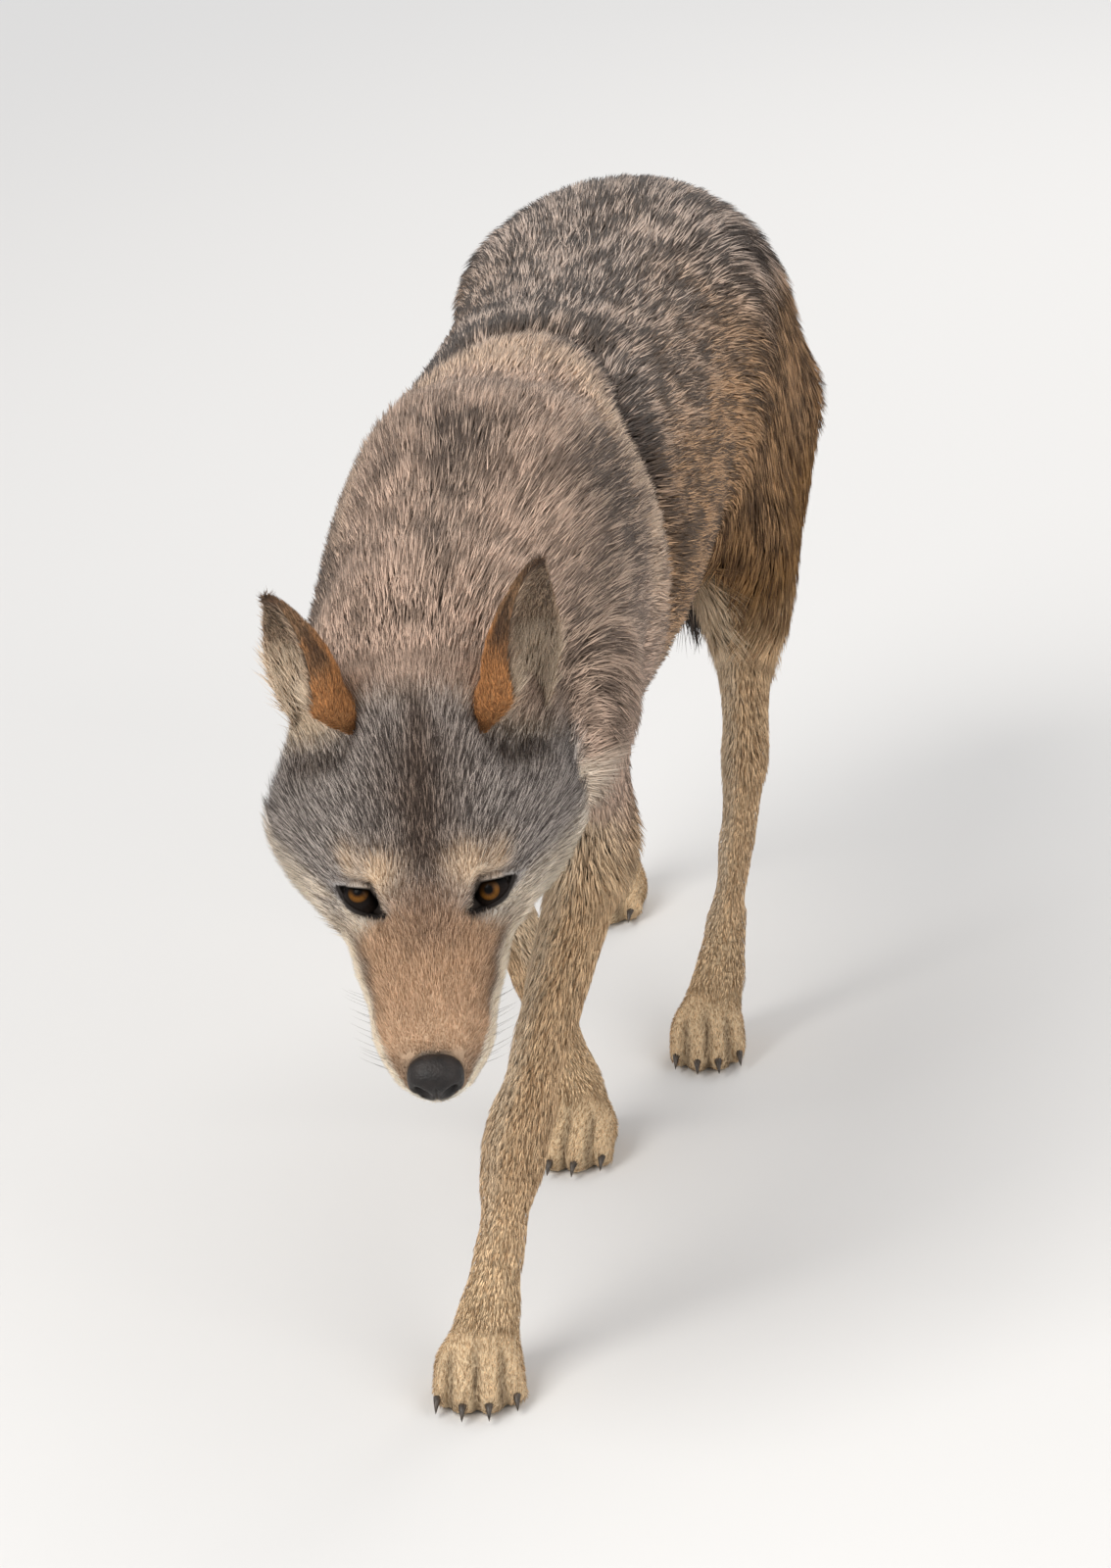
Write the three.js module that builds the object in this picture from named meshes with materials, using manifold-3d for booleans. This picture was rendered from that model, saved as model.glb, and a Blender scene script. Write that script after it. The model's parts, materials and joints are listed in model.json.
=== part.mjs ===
// A life-size grey wolf, walking slowly with its head carried low and turned a little to its left.
// Millimetres, +Z up. The wolf faces -Y and its left side is +X. It stands on its four soles at Z = 0.
// The flesh is one implicit shape out to the tips of the coat, parted into nodes by thin cuts.

import * as THREE from 'three';
import { mergeVertices } from 'three/addons/utils/BufferGeometryUtils.js';
import Module from 'manifold-3d';

const wasm = await Module();
wasm.setup();
const { Manifold, Mesh } = wasm;

// ---------------------------------------------------------------- driving dimensions

const GAP = 0.3; // clearance between neighbouring nodes
const WELD = 0.7; // points closer than this become one
const LEFT = 1;
const RIGHT = -1;

// Head: its axes start midway between the eyes. f runs forward along the muzzle, u up, l to its left.
const EYES_AT = [15, -360, 405];
const HEAD_TURN = 11.5; // degrees, towards the wolf's left
const HEAD_PITCH = 43; // degrees, muzzle below the horizontal
const EYE_RADIUS = 12.5;
const EYE_HALF_SPACING = 41;
const EAR_HEIGHT = 112;
const EAR_HALF_WIDTH = 36;
const EAR_DEPTH_SHARE = 0.78; // depth of an ear's cone over its width
const EAR_WALL = 5.5;
const EAR_AT = { f: -104, l: 70, u: 24 }; // middle of an ear's root
const EAR_FOOT = 22; // depth of the root in the skull
const EAR_HOLLOW = { forward: 15, up: 13, shorter: 17 };
const EAR_LEAN = { left: 0.12, right: 0.34 }; // the right ear leans further out

const NOSE = { at: [121, 0, -22], radii: [19.5, 15, 17] };
const MOUTH_CORNER = [28, 0, -47];

// Trunk sections from the breast to the buttocks: place along Y, half width, top and bottom.
const TRUNK = [
  { s: -190, wide: 56, top: 552, bottom: 432 },
  { s: -120, wide: 90, top: 602, bottom: 374 },
  { s: -30, wide: 106, top: 634, bottom: 342 },
  { s: 70, wide: 114, top: 641, bottom: 330 },
  { s: 180, wide: 119, top: 637, bottom: 340 },
  { s: 290, wide: 118, top: 637, bottom: 368 },
  { s: 390, wide: 116, top: 643, bottom: 398 },
  { s: 480, wide: 112, top: 650, bottom: 420 },
  { s: 560, wide: 98, top: 636, bottom: 438 },
  { s: 632, wide: 64, top: 598, bottom: 478 },
];
const TRUNK_SQUARE = 2.4; // 2 gives oval sections, more gives fuller shoulders to them

// Head sections along f: half width, top and bottom (u).
const HEAD = [
  { s: -165, wide: 84, top: 30, bottom: -118 },
  { s: -115, wide: 93, top: 47, bottom: -112 },
  { s: -65, wide: 94, top: 47, bottom: -106 },
  { s: -28, wide: 83, top: 38, bottom: -98 },
  { s: 4, wide: 66, top: 24, bottom: -90 },
  { s: 30, wide: 53, top: 11, bottom: -80 },
  { s: 66, wide: 42, top: 3, bottom: -70 },
  { s: 98, wide: 36, top: -2, bottom: -62 },
  { s: 120, wide: 28, top: -10, bottom: -53 },
];

// Limb joints. The left forefoot has just been set down ahead, the right one is about to leave the ground.
const FORE = {
  left: {
    side: LEFT,
    blade: [44, -22, 590],
    shoulder: [80, -158, 474],
    elbow: [72, -84, 336],
    wrist: [27, -208, 156],
    knuckle: [12, -262, 52],
    paw: [7, -285, 0],
    turn: 8,
  },
  right: {
    side: RIGHT,
    blade: [-44, -8, 590],
    shoulder: [-80, -124, 462],
    elbow: [-68, 18, 342],
    wrist: [-16, 92, 150],
    knuckle: [-2, 122, 50],
    paw: [0, 104, 0],
    turn: -4,
  },
};
const HIND = {
  left: {
    side: LEFT,
    hip: [70, 492, 536],
    seat: [92, 540, 454],
    stifle: [104, 362, 412],
    hock: [92, 394, 205],
    knuckle: [75, 316, 50],
    paw: [69, 290, 0],
    turn: 10,
  },
  right: {
    side: RIGHT,
    hip: [-64, 490, 540],
    seat: [-74, 556, 470],
    stifle: [-88, 424, 390],
    hock: [-78, 570, 216],
    knuckle: [-64, 598, 50],
    paw: [-60, 578, 0],
    turn: -8,
  },
};
const FORE_PAW = { long: 96, wide: 74, high: 46 };
const HIND_PAW = { long: 90, wide: 66, high: 43 };
const TOE_REACH = { inner: 0.36, outer: 0.22 }; // share of the paw's length that a toe runs ahead of it
const TOES = [-1.5, -0.5, 0.5, 1.5]; // places across the paw, in toes from its middle
const TOE_SPREAD = 4.1; // tips of the toes are this share of the paw's width apart
const CLAW = { long: 17, radius: 4.2, ahead: 13, rise: 0.27, tilt: 194 };

const TAIL = [
  { at: [0, 606, 586], thick: 34 },
  { at: [0, 662, 520], thick: 42 },
  { at: [1, 688, 415], thick: 50 },
  { at: [3, 694, 300], thick: 45 },
  { at: [5, 684, 222], thick: 24 },
];

// Levels and places of the cuts between nodes.
const FORELEG_CUT = 320;
const WRIST_CUT = 92;
const HOCK_CUT = 100;
const THIGH_CUT = { at: [60, 470, 452], slope: 40 };
const FLANK_CUT = 284;
const SPREAD = 1800; // side of the boxes that part the body

// Sizes of the net's cells, along X, Y and Z. The head's are along l, f and u, and finer over the face.
const CELLS = {
  neck: [28, 31, 28],
  trunk: [32, 50, 32],
  tail: [25, 28, 36],
  foreleg: [15, 16, 30],
  hindleg: [22.5, 25.5, 31],
  foot: [14.5, 16, 14.5],
};
const HEAD_CELLS = { across: 15, face: 13.5, skull: 22, high: 15, faceFrom: 34 };

// Boxes that the grids fill, low corner then high corner, and the space left around a leg's joints.
const SPACES = {
  neck: [[-170, -420, 280], [170, 60, 700]],
  trunk: [[-170, -260, 200], [170, 700, 700]],
  tail: [[-80, 520, 160], [80, 790, 660]],
  head: { half: 125, front: -150, back: 240, low: -150, high: 80 },
  leg: { fore: 78, hind: 120, low: -26, high: 600, footAbove: 40 },
};
const NET = {
  past: 1.2, // cells netted beyond a cut before it is made
  reach: 0.35, // share of a cell that a point may move to the true surface
  pulls: 3,
  leastSlope: 0.2,
};

const FINISH = {
  coat: { color: 0x8d7c6b, roughness: 0.95, metalness: 0 },
  saddle: { color: 0x7a6e66, roughness: 0.95, metalness: 0 },
  ear: { color: 0x8c6442, roughness: 0.95, metalness: 0 },
  leg: { color: 0xa98b68, roughness: 0.95, metalness: 0 },
  eye: { color: 0x8a5a24, roughness: 0.1, metalness: 0 },
  nose: { color: 0x2a2826, roughness: 0.45, metalness: 0 },
};

// ---------------------------------------------------------------- axes of the head

const radians = THREE.MathUtils.degToRad;
const turn = radians(HEAD_TURN);
const pitch = radians(HEAD_PITCH);
const headForward = new THREE.Vector3(
  Math.sin(turn) * Math.cos(pitch), -Math.cos(turn) * Math.cos(pitch), -Math.sin(pitch));
const headLeft = new THREE.Vector3(Math.cos(turn), Math.sin(turn), 0);
const headUp = new THREE.Vector3().crossVectors(headForward, headLeft);
const headFrame = new THREE.Matrix4()
  .makeBasis(headLeft, headForward.clone().negate(), headUp)
  .setPosition(...EYES_AT);

/** A place given as forward, left and up from the eyes, in the wolf's axes. */
function onHead(forward, left, up) {
  return new THREE.Vector3(left, -forward, up).applyMatrix4(headFrame);
}

// ---------------------------------------------------------------- implicit shapes

/** Smooth union of two distances; the blend is about as wide as soft. */
function join(a, b, soft) {
  const h = Math.max(soft - Math.abs(a - b), 0) / soft;
  return Math.min(a, b) - (h * h * soft) / 4;
}

/** Takes b away from a with a soft edge. */
function carve(a, b, soft) {
  return -join(-a, b, soft);
}

/** A tapered limb from a to b, each end with its half width across and half depth fore and aft. */
function bone(a, b, [wideA, deepA], [wideB, deepB], across = new THREE.Vector3(1, 0, 0)) {
  const start = new THREE.Vector3(...a);
  const along = new THREE.Vector3(...b).sub(start);
  const length = along.length();
  const axis = along.clone().divideScalar(length);
  const side = across.clone().addScaledVector(axis, -across.dot(axis)).normalize();
  const deep = new THREE.Vector3().crossVectors(axis, side);
  const q = new THREE.Vector3();
  return (p) => {
    q.subVectors(p, start);
    const run = q.dot(axis);
    const t = THREE.MathUtils.clamp(run / length, 0, 1);
    const w = wideA + (wideB - wideA) * t;
    const d = deepA + (deepB - deepA) * t;
    const least = Math.min(w, d);
    const over = (run - t * length) / least;
    return (Math.hypot(q.dot(side) / w, q.dot(deep) / d, over) - 1) * least;
  };
}

/** An ellipsoid with its own matrix. */
function lump(matrix, [rx, ry, rz]) {
  const inverse = matrix.clone().invert();
  const q = new THREE.Vector3();
  const least = Math.min(rx, ry, rz);
  return (p) => {
    q.copy(p).applyMatrix4(inverse);
    return (Math.hypot(q.x / rx, q.y / ry, q.z / rz) - 1) * least;
  };
}

/** An ellipsoid on the head, by its place and its half sizes along f, l and u. */
function headLump([f, l, u], [rf, rl, ru]) {
  const matrix = headFrame.clone().setPosition(onHead(f, l, u));
  return lump(matrix, [rl, rf, ru]);
}

/** Reads one value of the sections at s, on a smooth curve through them. */
function readSection(sections, s, key) {
  const last = sections.length - 1;
  let i = 0;
  while (i < last - 1 && s > sections[i + 1].s) i += 1;
  const at = (k) => sections[THREE.MathUtils.clamp(k, 0, last)];
  const slope = (k) => {
    const before = at(k - 1);
    const after = at(k + 1);
    return (after[key] - before[key]) / (after.s - before.s);
  };
  const a = at(i);
  const b = at(i + 1);
  const step = b.s - a.s;
  const t = (s - a.s) / step;
  const t2 = t * t;
  const t3 = t2 * t;
  return (2 * t3 - 3 * t2 + 1) * a[key] + (t3 - 2 * t2 + t) * step * slope(i)
    + (3 * t2 - 2 * t3) * b[key] + (t3 - t2) * step * slope(i + 1);
}

/** A body of rounded sections along Y of its matrix's axes; keel narrows it below, crown narrows it above. */
function hull(matrix, sections, { keel, crown, square = 2, forward = 1 }) {
  const inverse = matrix.clone().invert();
  const q = new THREE.Vector3();
  const first = sections[0].s;
  const final = sections[sections.length - 1].s;
  return (p) => {
    q.copy(p).applyMatrix4(inverse);
    const run = forward * q.y;
    const s = THREE.MathUtils.clamp(run, first, final);
    const top = readSection(sections, s, 'top');
    const bottom = readSection(sections, s, 'bottom');
    const high = (top - bottom) / 2;
    const rise = (q.z - (top + bottom) / 2) / high;
    const clamped = THREE.MathUtils.clamp(rise, -1, 1);
    const narrowing = 1 - (clamped < 0 ? -keel * clamped : crown * clamped) * Math.abs(clamped);
    const wide = readSection(sections, s, 'wide') * narrowing;
    const least = Math.min(wide, high);
    const round = (Math.abs(q.x / wide) ** square + Math.abs(rise) ** square) ** (1 / square);
    return (Math.hypot(round, (run - s) / least) - 1) * least;
  };
}

// ---------------------------------------------------------------- the flesh

const upright = new THREE.Matrix4();
const trunkHull = hull(upright, TRUNK, { keel: 0.28, crown: 0.06, square: TRUNK_SQUARE });
const headHull = hull(headFrame, HEAD, { keel: 0.22, crown: 0.05, forward: -1 });

/** The head: skull and muzzle, with brows, cheek ruffs, lip pads, chin and the hollows of the eyes. */
function makeHeadFlesh() {
  const paired = (f, l, u, radii) => [headLump([f, l, u], radii), headLump([f, -l, u], radii)];
  const brows = paired(-8, 29, 17, [20, 19, 12]);
  const ruffs = paired(-72, 62, -52, [46, 44, 44]);
  const cheekbones = paired(-22, 52, -18, [32, 26, 24]);
  const lipPads = paired(96, 20, -36, [25, 18, 22]);
  const chin = headLump([92, 0, -56], [24, 19, 14]);
  const sockets = paired(9, 47, 2, [15, 13, 12]);
  const stop = headLump([14, 0, 34], [26, 12, 17]);
  return (p) => {
    let d = headHull(p);
    for (const shape of ruffs) d = join(d, shape(p), 34);
    for (const shape of [...cheekbones, ...brows]) d = join(d, shape(p), 14);
    for (const shape of [...lipPads, chin]) d = join(d, shape(p), 10);
    for (const shape of sockets) d = carve(d, shape(p), 12);
    return carve(d, stop(p), 16);
  };
}

/** The neck with its ruff, from behind the skull into the shoulders. */
function makeNeckFlesh() {
  const nape = onHead(-112, 0, -32).toArray();
  const upper = bone(nape, [-2, -178, 494], [80, 90], [88, 99]);
  const lower = bone([-2, -178, 494], [0, -50, 528], [88, 99], [99, 108]);
  return (p) => join(upper(p), lower(p), 20);
}

/** One foreleg from the shoulder blade to the wrist. */
function makeForeleg({ side, blade, shoulder, elbow, wrist, knuckle }) {
  const outward = new THREE.Vector3(side, 0, 0.35);
  const parts = [
    [bone(blade, shoulder, [30, 52], [34, 50], outward), 40],
    [bone(shoulder, elbow, [34, 52], [31, 44]), 36],
    [bone(elbow, wrist, [29, 41], [20, 23]), 24],
    [bone(wrist, knuckle, [20, 22], [22, 21]), 14],
  ];
  return parts;
}

/** One hind leg from the hip to the toes' knuckles, with its thigh and the point of the hock. */
function makeHindLeg({ hip, seat, stifle, hock, knuckle }) {
  const heel = [hock[0], hock[1] + 14, hock[2] + 12];
  const calf = stifle.map((v, i) => v + (hock[i] - v) * 0.35 + [0, 22, 0][i]);
  return [
    [bone(hip, stifle, [60, 102], [38, 56]), 44],
    [bone(seat, calf, [54, 58], [37, 46]), 40],
    [bone(stifle, calf, [35, 56], [27, 42]), 28],
    [bone(calf, hock, [27, 40], [18, 24]), 20],
    [bone(calf, heel, [15, 20], [11, 13]), 16],
    [bone(hock, knuckle, [19, 23], [21, 20]), 14],
  ];
}

/** One paw: a pad with four toes, on the ground, and a short pastern above it. */
function makePaw({ knuckle, paw, turn: toesOut }, { long, wide, high }) {
  const matrix = new THREE.Matrix4()
    .makeRotationZ(radians(toesOut))
    .setPosition(paw[0], paw[1], 0);
  const place = (x, y, z) => new THREE.Vector3(x, y, z).applyMatrix4(matrix).toArray();
  const toes = TOES.map((k) => {
    const reach = Math.abs(k) < 1 ? TOE_REACH.inner : TOE_REACH.outer;
    const root = place((k * wide) / 5, -long * 0.02, high * 0.62);
    const tip = place((k * wide) / TOE_SPREAD, -long * reach, high * 0.18);
    return bone(root, tip, [11, 15], [10.5, 15]);
  });
  const heel = lump(
    matrix.clone().multiply(new THREE.Matrix4().makeTranslation(0, long * 0.16, high * 0.28)),
    [wide * 0.41, long * 0.34, high * 0.56]);
  const pastern = bone(knuckle, place(0, long * 0.08, high * 0.6), [19, 20], [24, 21]);
  return [[pastern, 12], [heel, 14], ...toes.map((toe) => [toe, 9])];
}

/** Joins a list of shapes, each with its own softness, on to the distance d. */
function joinAll(d, shapes, p) {
  return shapes.reduce((sum, [shape, soft]) => join(sum, shape(p), soft), d);
}

const headFlesh = makeHeadFlesh();
const neckFlesh = makeNeckFlesh();
const limbs = {
  fore_left: [...makeForeleg(FORE.left), ...makePaw(FORE.left, FORE_PAW)],
  fore_right: [...makeForeleg(FORE.right), ...makePaw(FORE.right, FORE_PAW)],
  hind_left: [...makeHindLeg(HIND.left), ...makePaw(HIND.left, HIND_PAW)],
  hind_right: [...makeHindLeg(HIND.right), ...makePaw(HIND.right, HIND_PAW)],
};
const tailShapes = TAIL.slice(1).map(({ at, thick }, i) => [
  bone(TAIL[i].at, at, [TAIL[i].thick, TAIL[i].thick], [thick, thick]), 26]);

/** The trunk and neck with the limbs named, as one distance. */
function flesh(names) {
  return (p) => {
    let d = join(trunkHull(p), neckFlesh(p), 40);
    for (const name of names) d = joinAll(d, limbs[name], p);
    return d;
  };
}

const allLimbs = Object.keys(limbs);
const fleshOf = {
  head: (p) => join(headFlesh(p), neckFlesh(p), 26),
  neck: (p) => join(join(headFlesh(p), neckFlesh(p), 26), flesh(['fore_left', 'fore_right'])(p), 1),
  trunk: (p) => joinAll(flesh(allLimbs)(p), tailShapes, p),
  tail: (p) => joinAll(flesh([])(p), tailShapes, p),
};

// ---------------------------------------------------------------- meshes and cuts

/** Evenly spaced values from low to at least high. */
function ticks(low, high, step) {
  return Array.from({ length: Math.ceil((high - low) / step) + 1 }, (_, i) => low + i * step);
}

/** The three rows of grid values that fill a box with cells. */
function gridOf(low, high, cell) {
  return cell.map((step, i) => ticks(low[i], high[i], step));
}

/** A closed net over the inside of a distance, on a grid in its frame, drawn in to its true surface. */
function net(distance, grid, frame = upright) {
  const [nx, ny, nz] = grid.map((row) => row.length);
  const index = (i, j, k) => i + nx * (j + ny * k);
  const at = (i, j, k) => new THREE.Vector3(grid[0][i], grid[1][j], grid[2][k]).applyMatrix4(frame);
  const least = Math.min(...grid.map((row) => row[1] - row[0]));
  const values = new Float64Array(nx * ny * nz);
  for (let k = 0; k < nz; k += 1) {
    for (let j = 0; j < ny; j += 1) {
      for (let i = 0; i < nx; i += 1) {
        const border = i === 0 || j === 0 || k === 0 || i === nx - 1 || j === ny - 1 || k === nz - 1;
        values[index(i, j, k)] = border ? Math.max(distance(at(i, j, k)), 1) : distance(at(i, j, k));
      }
    }
  }
  const corners = [];
  for (let c = 0; c < 8; c += 1) corners.push([c & 1, (c >> 1) & 1, (c >> 2) & 1]);
  const edges = [];
  for (let a = 0; a < 8; a += 1) {
    for (let bit = 1; bit < 8; bit <<= 1) if (!(a & bit)) edges.push([a, a | bit]);
  }
  const points = [];
  const pointOf = new Map();
  const slope = (p, step) => {
    const q = p.clone();
    const g = new THREE.Vector3();
    for (const axis of ['x', 'y', 'z']) {
      q[axis] = p[axis] + step;
      const ahead = distance(q);
      q[axis] = p[axis] - step;
      g[axis] = (ahead - distance(q)) / (2 * step);
      q[axis] = p[axis];
    }
    return g;
  };
  for (let k = 0; k < nz - 1; k += 1) {
    for (let j = 0; j < ny - 1; j += 1) {
      for (let i = 0; i < nx - 1; i += 1) {
        const v = corners.map(([a, b, c]) => values[index(i + a, j + b, k + c)]);
        const inside = v.filter((x) => x < 0).length;
        if (inside === 0 || inside === 8) continue;
        const sum = new THREE.Vector3();
        let hits = 0;
        for (const [a, b] of edges) {
          if (v[a] < 0 === v[b] < 0) continue;
          const t = v[a] / (v[a] - v[b]);
          const [p, q] = [a, b].map((c) => at(i + corners[c][0], j + corners[c][1], k + corners[c][2]));
          sum.add(p.lerp(q, t));
          hits += 1;
        }
        sum.divideScalar(hits);
        const home = sum.clone();
        for (let pull = 0; pull < NET.pulls; pull += 1) {
          const g = slope(sum, 1);
          sum.addScaledVector(g, -distance(sum) / Math.max(g.lengthSq(), NET.leastSlope));
        }
        const reach = least * NET.reach;
        if (sum.distanceTo(home) > reach) sum.sub(home).setLength(reach).add(home);
        pointOf.set(index(i, j, k), points.length / 3);
        points.push(sum.x, sum.y, sum.z);
      }
    }
  }
  const faces = [];
  const steps = [[1, 0, 0], [0, 1, 0], [0, 0, 1]];
  for (let k = 0; k < nz - 1; k += 1) {
    for (let j = 0; j < ny - 1; j += 1) {
      for (let i = 0; i < nx - 1; i += 1) {
        const here = values[index(i, j, k)] < 0;
        steps.forEach(([a, b, c], axis) => {
          const there = values[index(i + a, j + b, k + c)] < 0;
          if (here === there) return; // along the border every value is outside
          const [u, w] = [steps[(axis + 1) % 3], steps[(axis + 2) % 3]];
          const around = [[1, 1], [0, 1], [0, 0], [1, 0]].map(([m, n]) =>
            pointOf.get(index(i - m * u[0] - n * w[0], j - m * u[1] - n * w[1], k - m * u[2] - n * w[2])));
          if (!here) around.reverse();
          const [p0, p1, p2, p3] = around;
          faces.push(p0, p1, p2, p0, p2, p3);
        });
      }
    }
  }
  return new Manifold(new Mesh({
    numProp: 3,
    vertProperties: new Float32Array(points),
    triVerts: new Uint32Array(faces),
  }));
}

/** A three.js geometry, moved by a matrix, as a solid. */
function solidOf(geometry, matrix = upright) {
  const bare = geometry.index ? geometry.toNonIndexed() : geometry.clone();
  for (const name of Object.keys(bare.attributes)) if (name !== 'position') bare.deleteAttribute(name);
  bare.applyMatrix4(matrix);
  const merged = mergeVertices(bare, 1e-4);
  const order = Array.from(merged.index.array);
  const kept = [];
  for (let i = 0; i < order.length; i += 3) {
    const [a, b, c] = order.slice(i, i + 3);
    if (a !== b && b !== c && c !== a) kept.push(a, b, c);
  }
  return new Manifold(new Mesh({
    numProp: 3,
    vertProperties: new Float32Array(merged.attributes.position.array),
    triVerts: new Uint32Array(kept),
  }));
}

/** A big box whose face lies on the plane at a point; the box is on the side its normal points to. */
function beyond(point, normal, shift = 0) {
  const direction = new THREE.Vector3(...normal).normalize();
  const spin = new THREE.Quaternion().setFromUnitVectors(new THREE.Vector3(0, 0, 1), direction);
  const centre = new THREE.Vector3(...point).addScaledVector(direction, SPREAD / 2 + shift);
  const matrix = new THREE.Matrix4().compose(centre, spin, new THREE.Vector3(1, 1, 1));
  return solidOf(new THREE.BoxGeometry(SPREAD, SPREAD, SPREAD), matrix);
}

/** Keeps what lies behind every plane, less half a gap. */
function trim(solid, planes) {
  return planes.reduce((rest, { at, out }) => rest.subtract(beyond(at, out, -GAP / 2)), solid);
}

/** Nets a distance in the space behind some planes, a little past them, then cuts it to them. */
function netBehind(distance, planes, grid, frame = upright) {
  const normals = planes.map(({ out }) => new THREE.Vector3(...out).normalize());
  const origins = planes.map(({ at }) => new THREE.Vector3(...at));
  const past = Math.max(...grid.map((row) => row[1] - row[0])) * NET.past;
  const q = new THREE.Vector3();
  const bounded = (p) => {
    const out = planes.map((_, i) => q.subVectors(p, origins[i]).dot(normals[i]) - past);
    return Math.max(distance(p), ...out);
  };
  return trim(net(bounded, grid, frame), planes);
}

const backwards = ({ at, out }) => ({ at, out: out.map((v) => -v) });

const headCut = {
  at: onHead(-142, 0, 36).toArray(),
  out: headForward.clone().multiplyScalar(-0.9).addScaledVector(headUp, -0.44).toArray(),
};
const neckCut = { at: [0, -78, 625], out: [0, 0.9, -0.44] };
const tailCut = { at: [0, 604, 560], out: [0, 0.8, -0.35] };
const ground = { at: [0, 0, -GAP / 2], out: [0, 0, -1] };
const foreCut = { at: [0, 0, FORELEG_CUT], out: [0, 0, 1] };
const thighCut = (side) => {
  const slope = radians(THIGH_CUT.slope);
  const [x, y, z] = THIGH_CUT.at;
  return { at: [side * x, y, z], out: [-side * Math.cos(slope), 0, Math.sin(slope)] };
};
const flankCut = { at: [0, FLANK_CUT, 0], out: [0, -1, 0] };
const level = (z) => ({ at: [0, 0, z], out: [0, 0, 1] });

// ---------------------------------------------------------------- small parts

/** Ear axes: up the ear, the way it opens, and across. */
function earMatrix(side) {
  const up = new THREE.Vector3(0, 0, 1)
    .addScaledVector(headLeft, (side === LEFT ? EAR_LEAN.left : EAR_LEAN.right) * side)
    .addScaledVector(headUp, 0.25)
    .normalize();
  const opening = headForward.clone().addScaledVector(headLeft, 1.35 * side);
  opening.addScaledVector(up, -opening.dot(up)).normalize();
  const across = new THREE.Vector3().crossVectors(opening.clone().negate(), up);
  return new THREE.Matrix4()
    .makeBasis(across, opening.clone().negate(), up)
    .setPosition(onHead(EAR_AT.f, side * EAR_AT.l, EAR_AT.u));
}

/** The outline of an ear as a turned shape, from its root in the skull to its tip. */
function earCone(matrix, width, height, foot) {
  const rings = [[0, -foot], [0.86, -foot], [1, 0.05], [1, 0.24], [0.93, 0.44], [0.76, 0.65],
    [0.53, 0.83], [0.29, 0.95], [0, 1]];
  const profile = rings.map(([r, h]) => new THREE.Vector2(r * width, h < 0 ? h : h * height));
  const turned = new THREE.LatheGeometry(profile, 11);
  turned.rotateX(Math.PI / 2);
  turned.scale(1, EAR_DEPTH_SHARE, 1);
  return solidOf(turned, matrix);
}

/** One ear: an upright cone, hollowed from the side that it opens to. */
function makeEar(side) {
  const matrix = earMatrix(side);
  const cone = earCone(matrix, EAR_HALF_WIDTH, EAR_HEIGHT, EAR_FOOT);
  const { forward, up, shorter } = EAR_HOLLOW;
  const hollowAt = matrix.clone().multiply(new THREE.Matrix4().makeTranslation(0, -forward, up));
  const hollow = earCone(hollowAt, EAR_HALF_WIDTH - EAR_WALL, EAR_HEIGHT - shorter, 0);
  const seat = earCone(matrix, EAR_HALF_WIDTH + 2 * GAP, EAR_HEIGHT, EAR_FOOT + 2 * GAP);
  return { ear: cone.subtract(hollow), seat };
}

/** An eyeball, and the slightly larger pocket that it sits in. */
function makeEye(side) {
  const at = onHead(-5, side * EYE_HALF_SPACING, 0);
  const ball = (radius) => solidOf(
    new THREE.SphereGeometry(radius, 10, 7),
    new THREE.Matrix4().makeTranslation(at.x, at.y, at.z));
  return { eye: ball(EYE_RADIUS), pocket: ball(EYE_RADIUS + GAP * 1.5) };
}

/** The nose pad at the end of the muzzle, and the seat cut for it. */
function makeNose() {
  const matrix = headFrame.clone().setPosition(onHead(...NOSE.at));
  const pad = (extra) => solidOf(
    new THREE.SphereGeometry(1, 12, 8).scale(...NOSE.radii.map((r) => r + extra)),
    matrix);
  return { nose: pad(0), seat: pad(GAP * 1.5) };
}

/** Four claws for a paw, as thin cones that point forward and down. */
function makeClaws({ paw, turn: toesOut }, { long, wide, high }) {
  return TOES.map((k) => {
    const reach = Math.abs(k) < 1 ? TOE_REACH.inner : TOE_REACH.outer;
    const cone = new THREE.ConeGeometry(CLAW.radius, CLAW.long, 6);
    const root = [(k * wide) / TOE_SPREAD, -long * reach - CLAW.ahead, high * CLAW.rise];
    const matrix = new THREE.Matrix4()
      .makeRotationZ(radians(toesOut))
      .setPosition(paw[0], paw[1], 0)
      .multiply(new THREE.Matrix4().makeTranslation(...root))
      .multiply(new THREE.Matrix4().makeRotationX(radians(CLAW.tilt)));
    return solidOf(cone, matrix);
  });
}

// ---------------------------------------------------------------- nodes

/** The head's grid, along l, back from the muzzle and up; its rows are closer over the face. */
function headGrid() {
  const { across, face, skull, high, faceFrom } = HEAD_CELLS;
  const space = SPACES.head;
  const backwardRows = [...ticks(space.front, faceFrom, face), ...ticks(faceFrom + skull, space.back, skull)];
  return [ticks(-space.half, space.half, across), backwardRows, ticks(space.low, space.high, high)];
}

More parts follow.
